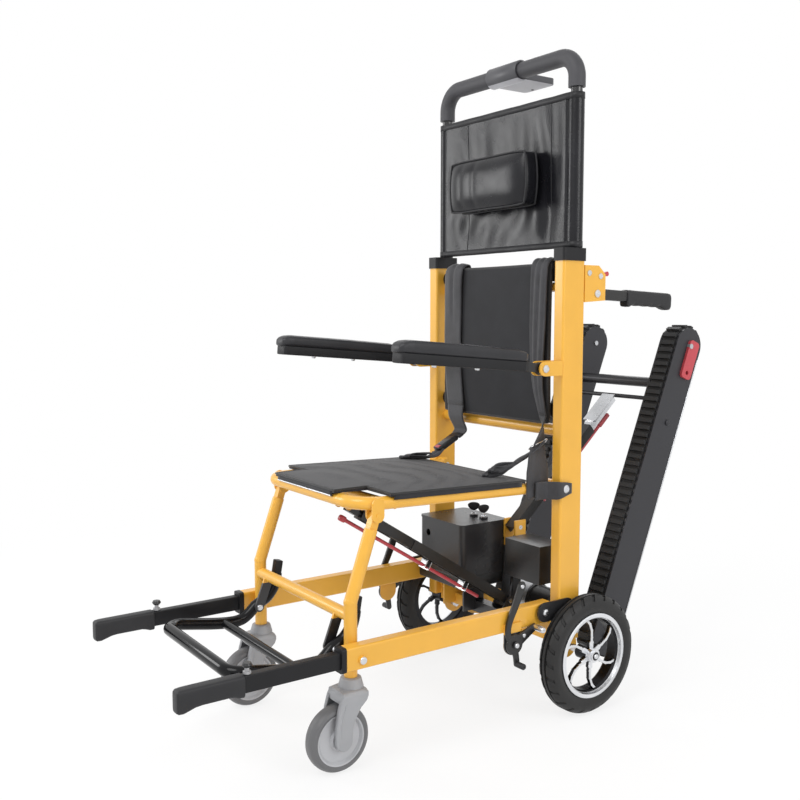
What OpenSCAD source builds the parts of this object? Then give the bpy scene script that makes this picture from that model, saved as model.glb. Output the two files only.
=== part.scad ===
// Powered stair climbing wheelchair: folding seat frame, crawler tracks, push bar and carry handles.
// The sitter faces -Y, +X is the sitter's left side, +Z is up, and the wheels stand on Z = 0.

/* [Rear posts] */
// Width of a post across the chair
post_w = 29; // [28:1:30]
// Depth of a post along the chair
post_d = 60; // [54:1:66]
// Height of the lower end of the posts
post_low = 150; // [140:1:170]
// Height of the upper end of the posts
post_top = 942; // [920:1:970]
// Wall of the post extrusion
post_wall = 2; // [1.5:0.5:2]
// Height of the black collar on each post
collar_h = 26; // [18:1:34]
// Overhang of the collar round the post
collar_lip = 2.5; // [1.5:0.5:4]

/* [Push bar] */
// Outer diameter of the push bar tube
bar_dia = 24; // [20:1:24]
// Outer diameter of the foam on the push bar
foam_dia = 35; // [32:1:40]
// Height of the push bar's centre line
bar_top = 1356; // [1320:1:1400]
// Radius of the push bar's bends
bar_bend = 46; // [40:1:52]
// Length of bar tube left inside each post
bar_insert = 230; // [180:1:260]
// Length of foam below the bend on each leg
foam_leg = 20; // [12:1:28]
// How far behind the post's middle the bar stands
bar_back = 12; // [8:1:14]
// Width of the control box
control_w = 196; // [160:1:220]
// Depth of the control box
control_d = 74; // [60:1:90]
// Height of the control box
control_h = 26; // [22:1:34]

/* [Back and headrest] */
// Width of the lower back panel
back_w = 356; // [320:1:372]
// Gap between the lower back panel and each post
back_gap = 20.5; // [18:0.5:24]
// Height of the lower edge of the lower back panel
back_low = 604; // [590:1:630]
// Height of the lower back panel
back_h = 334; // [300:1:340]
// Gap between the upper back panel's top and the bar's centre line
upper_gap = 77; // [74:1:100]
// Thickness of the upper back panel's leather
upper_t = 5; // [4:0.5:8]
// Width of the headrest cushion
head_w = 262; // [220:1:290]
// Height of the headrest cushion
head_h = 124; // [100:1:140]
// Depth of the headrest cushion
head_t = 66; // [50:1:80]
// Height of the headrest's middle on the upper panel, as a share of the panel's height
head_rise = 0.48; // [0.4:0.01:0.6]

/* [Armrests] */
// Height of the armrest hinge
arm_hinge_z = 724; // [700:1:750]
// How far in front of the posts' middle the armrest hinge is
arm_hinge_y = 77; // [70:1:85]
// Length of an armrest from its hinge to its nose
arm_len = 378; // [340:1:400]
// Width of an armrest pad
arm_w = 44; // [36:1:44]
// Thickness of an armrest pad
arm_t = 26; // [22:1:32]
// Upward slope of an armrest towards its nose
arm_slope = 4.8; // [3:0.2:7]

/* [Rear handles] */
// Height of the rear handle's pivot
grip_pivot_z = 876; // [860:1:890]
// How far behind the posts' middle the rear handle's pivot is
grip_pivot_y = 66; // [60:1:72]
// Length of a rear handle from its pivot
grip_len = 242; // [200:1:260]
// Diameter of a rear handle tube
grip_tube = 24; // [20:1:28]
// Diameter of a rear hand grip
grip_dia = 31; // [29:1:36]
// Downward slope of a rear handle
grip_slope = 2.5; // [0:0.5:6]

/* [Seat and folding frame] */
// Height of the seat hinge
seat_hinge_z = 474; // [460:1:490]
// How far in front of the posts' middle the seat hinge is
seat_hinge_y = 18; // [12:1:22]
// Length of the folding links from rear pivot to front pivot
link_len = 440; // [420:1:450]
// Drop of the front pivots below the rear pivots
link_drop = 9; // [4:1:14]
// How far the lower pivots lie in front of the upper ones
pivot_lead = 54; // [48:1:60]
// Height difference of the upper and lower pivots
pivot_rise = 251; // [240:1:256]
// Diameter of the seat tube
seat_dia = 25; // [22:1:28]
// Spacing of the seat's side tubes
seat_tube_gap = 364; // [350:1:366]
// Overhang of the seat's front tube past the front pivot
seat_nose = 34; // [28:1:44]
// Radius of the seat tube's front corners
seat_bend = 52; // [46:1:64]
// Cut of the seat cover at each front corner
seat_notch = 66; // [56:1:76]
// Rise of the seat towards the front, in degrees
seat_rise = 1.6; // [0.8:0.2:2.4]
// Diameter of the front leg tubes
leg_dia = 25; // [22:1:26]
// Height of the bend in the front legs
leg_bend_z = 310; // [308:1:320]
// Height of the cross bar of the front legs
leg_bar_z = 284; // [276:1:286]
// Diameter of the pivot pins
pin_dia = 10; // [8:1:12]
// Running clearance of a pivot pin in its bore
pin_fit = 0.1; // [0.05:0.01:0.1]

/* [Rails and carry handles] */
// Width of a side rail
rail_w = 26; // [24:1:28]
// Height of a side rail
rail_h = 44; // [42:1:46]
// Wall of a side rail
rail_wall = 2.5; // [2:0.5:3]
// How far the rail's front end lies in front of the front pivot
rail_nose = 33; // [28:1:40]
// Width of a carry handle tube
carry_w = 18; // [16:1:19]
// Height of a carry handle tube
carry_h = 30; // [26:1:34]
// How far a carry handle reaches out of its rail
carry_out = 316; // [290:1:330]
// Length of a carry hand grip
carry_grip = 118; // [100:1:130]

/* [Footrest] */
// Diameter of the footrest tube
foot_dia = 20; // [18:1:24]
// Width of the footrest between tube centres
foot_w = 256; // [230:1:270]
// Reach of the footrest in front of its pivot
foot_reach = 202; // [180:1:210]
// Height of the footrest pivot
foot_pivot_z = 222; // [218:1:228]
// Radius of the footrest's front corners
foot_bend = 46; // [40:1:56]

/* [Casters] */
// Diameter of a caster wheel
caster_dia = 125; // [115:1:130]
// Width of a caster wheel
caster_w = 32; // [28:1:36]
// Trail of a caster wheel from its stem
caster_trail = 30; // [24:1:36]

/* [Rear wheels] */
// Outer diameter of a rear tyre
wheel_dia = 250; // [240:1:256]
// Width of a rear tyre
tyre_w = 44; // [40:1:48]
// Diameter of the wheel rim
rim_dia = 178; // [168:1:186]
// How far behind the posts' middle the wheel axle is
axle_back = 25; // [15:1:30]
// Space between post and tyre
wheel_gap = 6; // [4:1:8]
// Diameter of the wheel axle
axle_dia = 15; // [12:1:18]
// Number of forked spokes in a rim
spokes = 6; // [5:1:7]

/* [Tracks] */
// Spacing of the crawler tracks, centre to centre
track_gap = 296; // [280:1:310]
// Width of a track belt
belt_w = 38; // [32:1:44]
// Length of a track between its roller centres
track_len = 700; // [660:1:720]
// Backward lean of the tracks at rest
track_lean = 21.8; // [20:0.2:24]
// Radius of the belt's inner side round the end rollers
roller_r = 38; // [34:1:40]
// Thickness of the belt without its cleats
belt_t = 5; // [4:0.5:7]
// Height of the belt's cleats
cleat_h = 7; // [5:0.5:9]
// Number of cleats along one straight run
cleats = 40; // [34:1:44]
// Height of the lower track shaft
shaft_z = 108; // [96:1:116]
// How far behind the posts' middle the lower track shaft is
shaft_back = 173; // [160:1:185]
// Diameter of the track shaft
shaft_dia = 20; // [16:1:24]

/* [Drive and battery] */
// Gap between the battery case and the right post
battery_side = 16.5; // [12:0.5:26]
// Length of the battery case along the chair
battery_l = 136; // [124:1:140]
// Height of the battery case
battery_h = 117; // [105:1:125]
// Height of the battery case's floor
battery_z = 237; // [232:1:246]
// Wall of the battery case
battery_wall = 3; // [2:0.5:4]

/* [Hidden] */
$fn = 48;
post_x = back_w / 2 + back_gap + post_w / 2;
post_in = post_x - post_w / 2;
post_out = post_x + post_w / 2;
rail_x = post_x - 4;
rail_in = rail_x - rail_w / 2;
rail_out = rail_x + rail_w / 2;
wheel_x = post_out + wheel_gap + tyre_w / 2;
axle_z = wheel_dia / 2;
seat_x = seat_tube_gap / 2;
leg_x = seat_x;
pin_r = pin_dia / 2;
bore_r = pin_r + pin_fit;
gap = 0.3;
eye_step = 0.5;
// Pivots of the folding frame: P1 seat to post, P2 rail to post, Q1 seat to leg, Q2 rail to leg
P1 = [0, -seat_hinge_y, seat_hinge_z];
P2 = [0, -seat_hinge_y - pivot_lead, seat_hinge_z - pivot_rise];
Q1 = P1 + [0, -link_len, -link_drop];
Q2 = P2 + [0, -link_len, -link_drop];
leg_y = Q2[1];
leg_low = 172;
rail_front = Q2[1] - rail_nose;
rail_rear = P2[1] + rail_h / 2;
carry_front = rail_front - carry_out;
shaft = [0, shaft_back, shaft_z];
belt_r = roller_r + belt_t;
cleat_r = belt_r + cleat_h;
idler = shaft + track_len * [0, sin(track_lean), cos(track_lean)];
y_shift = -(carry_front + idler[1] + cleat_r) / 2;
foot_pivot = [0, leg_y - 24, foot_pivot_z];
arm_hinge = [0, -arm_hinge_y, arm_hinge_z];
grip_pivot = [0, grip_pivot_y, grip_pivot_z];
// Rod of the tracks that the track strut holds, in the track's own line and in the chair
rod_local = [0, -16, track_len - 140];
rod_place = shaft + [0, rod_local[1] * cos(track_lean) + rod_local[2] * sin(track_lean),
  rod_local[2] * cos(track_lean) - rod_local[1] * sin(track_lean)];
strut_base = [0, 48, 346];
strut_line = rod_place - strut_base;
strut_span = norm(strut_line);
strut_angle = atan2(strut_line[2], strut_line[1]);
// Pin under the seat that the seat strut holds, in the seat's own plane and in the chair
eye_local = [0, -395, -36];
eye_place = P1 + [0, eye_local[1] * cos(seat_rise) + eye_local[2] * sin(seat_rise),
  eye_local[2] * cos(seat_rise) - eye_local[1] * sin(seat_rise)];
seat_strut_base = [0, 20, 178];
seat_line = eye_place - seat_strut_base;
seat_strut_len = norm(seat_line);
seat_strut_angle = atan2(seat_line[2], -seat_line[1]);
battery_w = post_in - battery_side - 22;
battery_mid = [-22 - battery_w / 2, 46 - battery_l / 2, battery_z];
beam = 26;
beam_z = 150;
brake_pivot = [0, -155, Q2[2] - 42];
yellow = "orange";
black = "dimgray";

// Moves a piece from the posts' middle line to the part's origin
module framed() {
  translate([0, y_shift, 0]) children();
}

// The same piece on both sides of the chair
module both() {
  children();
  mirror([1, 0, 0]) children();
}

// A round bar between two points
module rod(p, q, r) {
  v = q - p;
  l = norm(v);
  translate(p)
    rotate([0, acos(v[2] / l), atan2(v[1], v[0])])
      cylinder(h = l, r = r);
}

// A round bar along X from x0 to x1 at the point p
module xrod(p, x0, x1, r) {
  translate([x0, p[1], p[2]])
    rotate([0, 90, 0])
      cylinder(h = x1 - x0, r = r);
}

// A quarter or other bend of round bar in the XY plane
module bend(radius, r, from, turn) {
  rotate([0, 0, from])
    rotate_extrude(angle = turn)
      translate([radius, 0])
        circle(r);
}

// A rectangle with rounded corners
module round_rect(w, h, r) {
  square([w - 2 * r, h], center = true);
  square([w, h - 2 * r], center = true);
  for (sx = [-1, 1], sy = [-1, 1])
    translate([sx * (w / 2 - r), sy * (h / 2 - r)]) circle(r);
}

// A slab with its outline in the YZ plane, from x0 to x1
module side_plate(x0, x1) {
  translate([x0, 0, 0])
    rotate([90, 0, 90])
      linear_extrude(x1 - x0) children();
}

// A flat bar with round ends between two YZ points
module link_2d(p, q, r) {
  v = q - p;
  translate(p) circle(r);
  translate(q) circle(r);
  translate(p)
    rotate(atan2(v[1], v[0]))
      translate([0, -r]) square([norm(v), 2 * r]);
}

// A flat bar with slightly wider round eyes along a chain of YZ points
module chain_2d(points, r) {
  for (p = points) translate(p) circle(r);
  for (i = [0 : len(points) - 2]) {
    v = points[i + 1] - points[i];
    translate(points[i])
      rotate(atan2(v[1], v[0]))
        translate([0, eye_step - r]) square([norm(v), 2 * (r - eye_step)]);
  }
}

// Sideways step from a chain's middle line at its point i: the mitre between the two stretches that meet there
function side_of(v) = [-v[1], v[0]] / norm(v);
function stretch(points, i) = side_of(points[i + 1] - points[i]);
function mitre(points, i) =
  let (a = stretch(points, max(0, i - 1)), b = stretch(points, min(len(points) - 2, i)))
    (a + b) / (1 + a * b);

// A band of even thickness along a chain of YZ points
module band_2d(points, t) {
  last = len(points) - 1;
  polygon(concat(
    [for (i = [0 : last]) points[i] + mitre(points, i) * t / 2],
    [for (i = [last : -1 : 0]) points[i] - mitre(points, i) * t / 2]));
}

function yz(p) = [p[1], p[2]];

// A domed bolt head on a face that looks along X
module bolt_head(p, x, r, side) {
  translate([x, p[1], p[2]])
    rotate([0, side * 90, 0]) {
      cylinder(h = r * 0.3, r = r);
      translate([0, 0, r * 0.3]) cylinder(h = r * 0.4, r1 = r, r2 = r * 0.55);
    }
}

// Height of a stuffed face at the grid place u, v
function swell(u, v, p) = sqrt(max(0, 1 - pow(abs(u), p))) * sqrt(max(0, 1 - pow(abs(v), p)));

// A stuffed pad in the XZ plane: its front looks along -Y, its sides are drawn in between the corners
module stuffed_pad(w, h, edge, crown_front, crown_back, draw, power, nx, ny, channel = 0) {
  function at(i, n) = 2 * i / n - 1;
  function px(u, v) = w / 2 * u * (1 - draw * (1 - v * v) * u * u);
  function pz(u, v) = h / 2 * v * (1 - draw * (1 - u * u) * v * v);
  function groove(v) = channel * pow(abs(sin(270 * v)), 8);
  row = nx + 1;
  front = [for (j = [0 : ny], i = [0 : nx]) let (u = at(i, nx), v = at(j, ny))
    [px(u, v), -edge / 2 - (crown_front - groove(v)) * swell(u, v, power), pz(u, v)]];
  back = [for (j = [0 : ny], i = [0 : nx]) let (u = at(i, nx), v = at(j, ny))
    [px(u, v), edge / 2 + crown_back * swell(u, v, power), pz(u, v)]];
  n = row * (ny + 1);
  skin = [for (j = [0 : ny - 1], i = [0 : nx - 1]) let (a = j * row + i)
    each [[a, a + row, a + 1], [a + 1, a + row, a + row + 1]]];
  lining = [for (f = skin) [n + f[0], n + f[2], n + f[1]]];
  rim = concat([for (i = [0 : nx]) i], [for (j = [1 : ny]) j * row + nx],
    [for (i = [nx - 1 : -1 : 0]) ny * row + i], [for (j = [ny - 1 : -1 : 1]) j * row]);
  walls = [for (k = [0 : len(rim) - 1]) let (a = rim[k], b = rim[(k + 1) % len(rim)])
    each [[a, b, n + a], [b, n + b, n + a]]];
  polyhedron(concat(front, back), concat(skin, lining, walls));
}

module rear_posts() {
  color(yellow) framed() both()
    difference() {
      translate([post_x, 0, post_low])
        linear_extrude(post_top - post_low)
          difference() {
            round_rect(post_w, post_d, 5);
            round_rect(post_w - 2 * post_wall, post_d - 2 * post_wall, 3);
          }
      xrod(P1, post_in - 1, post_out + 1, bore_r);
      xrod([0, axle_back, axle_z + 40], post_in - 1, post_out + 1, bore_r);
    }
}

module post_collars() {
  color(black) framed() both()
    translate([post_x, 0, post_top])
      difference() {
        linear_extrude(collar_h) round_rect(post_w + 2 * collar_lip, post_d + 2 * collar_lip, 6);
        translate([0, bar_back, -1]) cylinder(h = collar_h + 2, r = bar_dia / 2 + gap);
      }
}

// Cross members, battery tray, strut ears, wheel plates and track shaft carriers, welded together
module chassis_frame() {
  carrier_x = 84;
  color(yellow) framed() {
    xrod([0, 4, 590], -post_in, post_in, 12.5);
    xrod([0, 4, 890], -post_in, post_in, 10);
    translate([-post_in, -beam / 2, beam_z - beam / 2]) cube([2 * post_in, beam, beam]);
    // Battery tray on two folded legs
    translate([battery_mid[0] - 60, battery_mid[1] - battery_l / 2 + 6, battery_z - 5])
      cube([120, battery_l - 8, 5]);
    for (x = [battery_mid[0] - 44, battery_mid[0] + 30])
      translate([x, -beam / 2 - 34, beam_z - 8])
        cube([5, beam + 34, battery_z - beam_z + 5]);
    // Ears of the track strut and of the seat strut
    both()
      side_plate(16, 20)
        difference() {
          union() {
            chain_2d([yz(strut_base), [36, beam_z + 18], [8, beam_z]], 12);
            chain_2d([yz(seat_strut_base), [4, beam_z + 1]], 12);
          }
          translate(yz(strut_base)) circle(bore_r);
          translate(yz(seat_strut_base)) circle(bore_r);
        }
    // Side plates that carry the track shaft
    both()
      side_plate(carrier_x, carrier_x + 6)
        difference() {
          union() {
            chain_2d([[0, beam_z], yz(shaft)], 24);
            chain_2d([[beam / 2, beam_z + 4], [beam / 2 + 60, beam_z + 4]], 18);
          }
          translate(yz(shaft)) circle(shaft_dia / 2 + gap);
        }
    // Wheel plates on the inner side of each post
    both()
      side_plate(post_in - 6, post_in)
        difference() {
          chain_2d([[axle_back, axle_z], [4, post_low + 60]], 27);
          translate([axle_back, axle_z]) circle(axle_dia / 2);
          translate([axle_back, axle_z + 40]) circle(bore_r);
        }
  }
}

// Plates on the posts: rear handle clevis, armrest bracket and lower rail lug
module post_brackets() {
  color(yellow) framed() both() {
    // Clevis of the rear handle
    for (x = [post_in, post_out - 4])
      side_plate(x, x + 4)
        difference() {
          union() {
            translate([post_d / 2, grip_pivot[2]])
              polygon([[0, 58], [40, 58], [60, 40], [60, -14], [0, -18]]);
          }
          translate(yz(grip_pivot)) circle(bore_r);
        }
    // Fork of the armrest hinge
    for (x = [post_in, post_out - 4])
      side_plate(x, x + 4)
        difference() {
          union() {
            translate([-arm_hinge_y, arm_hinge_z]) circle(15);
            translate([-arm_hinge_y, arm_hinge_z - 15]) square([arm_hinge_y - post_d / 2, 30]);
          }
          translate(yz(arm_hinge)) circle(bore_r);
        }
    // Lug of the lower rail pivot on the outer side of the post
    side_plate(post_out, post_out + 4)
      difference() {
        union() {
          link_2d(yz(P2), [-10, P2[2]], 20);
        }
        translate(yz(P2)) circle(bore_r);
      }
  }
}

module lower_back_panel() {
  color("black") framed()
    translate([0, -13.5, back_low + back_h / 2])
      stuffed_pad(back_w, back_h, 8, 9, 3, 0.02, 6, 22, 22);
}

module wheel_axle() {
  color("silver") framed() both() {
    xrod([0, axle_back, axle_z], post_in - 22, post_out + wheel_gap + tyre_w - 6, axle_dia / 2);
    translate([post_in - 6 - 8, axle_back, axle_z]) rotate([0, 90, 0]) cylinder(h = 8, r = 14, $fn = 6);
  }
}

module battery_case() {
  color(black) framed()
    translate(battery_mid)
      difference() {
        linear_extrude(battery_h) round_rect(battery_w, battery_l, 12);
        translate([0, 0, battery_wall])
          linear_extrude(battery_h)
            round_rect(battery_w - 2 * battery_wall, battery_l - 2 * battery_wall, 10);
        // Charging port in the front wall
        translate([port_x, -battery_l / 2 - 1, battery_h * 0.72]) rotate([-90, 0, 0]) cylinder(h = 10, r = port_r);
      }
}

module battery_lid() {
  lip = 1;
  color(black) framed()
    translate(battery_mid + [0, 0, battery_h])
      difference() {
        union() {
          linear_extrude(5) round_rect(battery_w + 2 * lip, battery_l + 2 * lip, 12);
          translate([0, 0, -6])
            linear_extrude(6)
              round_rect(battery_w - 2 * battery_wall - 1, battery_l - 2 * battery_wall - 1, 9);
          for (x = key_x) translate([x, key_y, 5]) cylinder(h = 5, r = 10);
        }
        for (x = key_x) translate([x, key_y, -7]) cylinder(h = 30, r = key_r + 0.1);
      }
}

module battery_pack() {
  color("slategray") framed()
    translate(battery_mid + [0, 0, battery_wall])
      linear_extrude(battery_h - 34) round_rect(battery_w - 16, battery_l - 16, 4);
}

controller_x = [40, post_in];

// Drive electronics in a folded sheet box on the inner side of the post
module controller_box() {
  w = controller_x[1] - controller_x[0];
  l = 76;
  h = 106;
  color("black") framed()
    translate([(controller_x[0] + controller_x[1]) / 2, l / 2 - post_d / 2, 238])
      difference() {
        union() {
          linear_extrude(h) round_rect(w, l, 3);
          translate([0, 0, h]) linear_extrude(2) round_rect(w - 6, l - 6, 3);
        }
        for (i = [-4 : 4]) translate([i * 12 - 2, l / 2 - 3, 30]) cube([4, 6, 60]);
      }
}

module drive_motor() {
  color("gray") framed() {
    xrod([0, shaft_back - 70, beam_centre()], 24, 84, 33);
    xrod([0, shaft_back - 70, beam_centre()], 18, 24, 36);
  }
}

function beam_centre() = shaft_z + 62;

module gearbox() {
  color("silver") framed()
    difference() {
      union() {
        side_plate(-26, 18)
          link_2d(yz(shaft), [shaft_back - 70, beam_centre()], 38);
        side_plate(-30, -26)
          link_2d(yz(shaft), [shaft_back - 70, beam_centre()], 30);
      }
      xrod(shaft, -40, 30, shaft_dia / 2 + gap);
    }
}

// Harness straps that come over the back panel's upper edge and hang down in front of it
module shoulder_straps() {
  strap_w = 38;
  strap_t = 3;
  top = back_low + back_h;
  color("black") framed() both()
    side_plate(back_w / 2 - 12 - strap_w, back_w / 2 - 12)
      band_2d([[6, top - 36.5], [4, top + 2], [-2, top + 7], [-14, top + 7], [-24, top - 2], [-27.6, top - 30],
        [-28, top - 60], [-28.2, top - 150], [-28.2, top - 240], [-28, top - 316]], strap_t);
}

// Pivot bolts of the frame with washers and domed heads
module frame_bolts() {
  color("silver") framed() both() {
    // Seat hinge
    xrod(P1, seat_x - 14, post_out, pin_r);
    bolt_head(P1, post_out, 10, 1);
    // Rail hinge
    xrod(P2, rail_in, post_out + 4, pin_r);
    bolt_head(P2, post_out + 4, 7, 1);
    // Armrest hinge
    xrod(arm_hinge, post_in - 4, post_out, pin_r);
    bolt_head(arm_hinge, post_out, 8, 1);
    // Rear handle hinge and clevis screws
    xrod(grip_pivot, post_in, post_out, pin_r);
    bolt_head(grip_pivot, post_out, 8, 1);
    xrod(latch_pivot, post_in + 4, post_out - 4, 2);
    bolt_head(latch_pivot, post_out, 6, 1);
    bolt_head(grip_pivot + [0, -24, 42], post_out, 6, 1);
    // Wheel plate screw
    xrod([0, axle_back, axle_z + 40], post_in - 6, post_out, pin_r);
  }
  color("silver") framed() {
    xrod(strut_base, -21.5, 21.5, pin_r);
    xrod(seat_strut_base, -21.5, 21.5, pin_r);
  }
}

// The push bar's route as round stock, or as a sleeve when a bore is given
module push_bar_path(r, low, bore = 0) {
  straight = post_x - bar_bend;
  module ring() {
    difference() {
      circle(r);
      if (bore > 0) circle(bore);
    }
  }
  for (s = [-1, 1])
    translate([s * post_x, bar_back, low]) linear_extrude(bar_top - bar_bend - low) ring();
  translate([-straight, bar_back, bar_top]) rotate([0, 90, 0]) linear_extrude(2 * straight) ring();
  for (s = [0, 1])
    mirror([s, 0, 0])
      translate([straight, bar_back, bar_top - bar_bend])
        rotate([90, 0, 0])
          rotate_extrude(angle = 90)
            translate([bar_bend, 0]) ring();
}

module push_bar_tube() {
  color("black") framed()
    difference() {
      push_bar_path(bar_dia / 2, post_top - bar_insert);
      for (s = [-1, 1])
        translate([s * post_x, bar_back, post_top - bar_insert - 1])
          cylinder(h = bar_top - bar_bend - post_top + bar_insert, r = bar_dia / 2 - 2);
    }
}

module push_bar_foam() {
  color("black") framed()
    push_bar_path(foam_dia / 2, foam_low, bar_dia / 2);
}

control_y = bar_back + foam_dia / 2 + 8 + control_d / 2;
control_z = bar_top - 16;

// Hand control with its clamp round the foam and two wells for the buttons on the rear slope
module control_box() {
  color("black") framed()
    difference() {
      union() {
        translate([0, control_y, control_z - control_h / 2])
          linear_extrude(control_h) round_rect(control_w, control_d, 8);
        translate([-control_w / 4, bar_back, bar_top]) rotate([0, 90, 0])
          cylinder(h = control_w / 2, r = foam_dia / 2 + 5);
        translate([-control_w / 4, bar_back, control_z - control_h / 2])
          cube([control_w / 2, control_y - bar_back, control_h]);
      }
      translate([-control_w, bar_back, bar_top]) rotate([0, 90, 0])
        cylinder(h = 2 * control_w, r = foam_dia / 2);
      translate([0, control_y + 6, control_z + control_h / 2 - 8]) linear_extrude(20)
        round_rect(rocker_w + 1, rocker_d + 1, 1.5);
      xrod([0, control_y + 6, control_z + control_h / 2 - 3], -rocker_w / 2 - 4, rocker_w / 2 + 4, 2);
    }
}

rocker_w = 26;
rocker_d = 40;

// Up and down rocker on the rear of the hand control
module direction_rocker() {
  color("dimgray") framed()
    translate([0, control_y + 6, control_z + control_h / 2 - 3]) {
      side_plate(-rocker_w / 2, rocker_w / 2)
        polygon([[-rocker_d / 2 + 1, 2], [0, -2.5], [rocker_d / 2 - 1, 2], [rocker_d / 2 - 1, 6], [0, 4.5],
          [-rocker_d / 2 + 1, 6]]);
      xrod([0, 0, 0], -rocker_w / 2 - 3, rocker_w / 2 + 3, 1.9);
    }
}

upper_low = post_top + collar_h + 1;
upper_h = bar_top - upper_gap - upper_low;
head_z = upper_low + head_rise * upper_h;
foam_low = bar_top - bar_bend - foam_leg;

// Leather sheet with a sleeve round each push bar leg and two shallow upright folds
module upper_back_panel() {
  sleeve = bar_dia / 2 + upper_t;
  span = post_x - bar_dia / 2;
  folds = 36;
  function bow(x) = 5 * cos(90 * x / span) + 1.5 * sin(540 * x / span) * cos(90 * x / span);
  outline = concat(
    [for (i = [0 : folds]) let (x = -span + 2 * span * i / folds) [x, -sleeve + upper_t / 2 + bow(x)]],
    [for (i = [folds : -1 : 0]) let (x = -span + 2 * span * i / folds) [x, -sleeve + 1.5 * upper_t + bow(x)]]);
  color("black") framed()
    translate([0, bar_back, upper_low])
      linear_extrude(upper_h)
        difference() {
          union() {
            polygon(outline);
            for (s = [-1, 1]) translate([s * post_x, 0]) circle(sleeve);
          }
          for (s = [-1, 1]) translate([s * post_x, 0]) circle(bar_dia / 2 + gap);
        }
}

module headrest_pad() {
  color("black") framed()
    translate([0, bar_back - bar_dia / 2 - upper_t + gap - head_t * 0.31, head_z])
      stuffed_pad(head_w, head_h, head_t * 0.62, head_t * 0.24, head_t * 0.07, 0.03, 4, 20, 16);
}

// One armrest along -Y from its hinge: steel arm, moulded plinth and the cushion on top of it
module armrest() {
  pad_start = 44;
  pad_len = arm_len - pad_start;
  base_h = 19;
  color("black") framed()
    translate(arm_hinge)
      rotate([-arm_slope, 0, 0]) {
        difference() {
          union() {
            translate([post_x - 7, -pad_start - 30, -8]) cube([14, pad_start + 30, base_h]);
            xrod([0, 0, 0], post_x - 7, post_x + 7, 13);
          }
          xrod([0, 0, 0], post_x - 8, post_x + 8, bore_r);
        }
        translate([post_x + 10, -pad_start - pad_len / 2, 0]) {
          translate([0, -4, -8]) linear_extrude(base_h) round_rect(arm_w - 6, pad_len - 30, 7);
          translate([0, 0, base_h - 8.5]) linear_extrude(4.5) round_rect(arm_w - 2, pad_len - 2, 15);
          translate([0, 0, base_h - 4.5]) linear_extrude(arm_t - 9) round_rect(arm_w, pad_len, 16);
          translate([0, 0, base_h + arm_t - 14]) linear_extrude(3) round_rect(arm_w - 4, pad_len - 4, 14);
          translate([0, 0, base_h + arm_t - 11.5]) linear_extrude(2.5) round_rect(arm_w - 10, pad_len - 10, 11);
          for (y = [-70, 60]) translate([0, y, -12]) cylinder(h = 5, r = 5);
        }
      }
}

module left_armrest() {
  armrest();
}

module right_armrest() {
  mirror([1, 0, 0]) armrest();
}

// One rear handle along +Y from its pivot: tube with a finger-grooved grip
module rear_handle() {
  grip_l = 142;
  grooves = 4;
  neck = (post_w - 10) / 2;
  ridge = grip_dia / 2;
  start = grip_len - grip_l;
  step = (grip_l - 16) / grooves;
  profile = concat([[0, 0], [neck, 0], [neck, 30], [grip_tube / 2, 34], [grip_tube / 2, start],
    [ridge + 1.5, start], [ridge + 1.5, start + 6]],
    [for (i = [0 : grooves - 1]) let (a = start + 8 + i * step)
      each [[ridge - 2, a + 4], [ridge - 2, a + step - 8], [ridge, a + step - 4]]],
    [[ridge, grip_len - 4], [ridge - 4, grip_len], [0, grip_len]]);
  color("black") framed()
    translate(grip_pivot)
      rotate([-grip_slope, 0, 0])
        difference() {
          union() {
            xrod([0, 0, 0], post_in + 4.5, post_out - 4.5, 11);
            translate([post_x, 0, 0]) rotate([-90, 0, 0]) rotate_extrude() polygon(profile);
          }
          xrod([0, 0, 0], post_in, post_out, bore_r);
        }
}

module left_rear_handle() {
  rear_handle();
}

module right_rear_handle() {
  mirror([1, 0, 0]) rear_handle();
}

latch_pivot = [0, 75, 912];

// Thumb latch of a rear handle
module handle_latch() {
  color("red") framed()
    difference() {
      side_plate(post_x - 5, post_x + 5)
        union() {
          chain_2d([yz(latch_pivot), yz(latch_pivot) + [30, 6]], 5);
          chain_2d([yz(latch_pivot) + [2, -3.5], yz(latch_pivot) + [8, -14]], 4);
        }
      xrod(latch_pivot, post_x - 9, post_x + 9, 2.1);
    }
}

module left_handle_latch() {
  handle_latch();
}

module right_handle_latch() {
  mirror([1, 0, 0]) handle_latch();
}

// Puts a piece into the seat's own plane: origin at the hinge, -Y towards the front
module on_seat() {
  translate(P1) rotate([-seat_rise, 0, 0]) children();
}

seat_front = link_len + seat_nose;
leg_tab = 16;

module seat_path(r, over) {
  for (s = [-1, 1])
    translate([s * seat_x, over, 0]) rotate([90, 0, 0]) cylinder(h = seat_front - seat_bend + over, r = r);
  translate([-seat_x + seat_bend, -seat_front, 0]) rotate([0, 90, 0])
    cylinder(h = 2 * (seat_x - seat_bend), r = r);
  translate([seat_x - seat_bend, -seat_front + seat_bend, 0]) bend(seat_bend, r, -90, 90);
  translate([-seat_x + seat_bend, -seat_front + seat_bend, 0]) bend(seat_bend, r, 180, 90);
}

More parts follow.
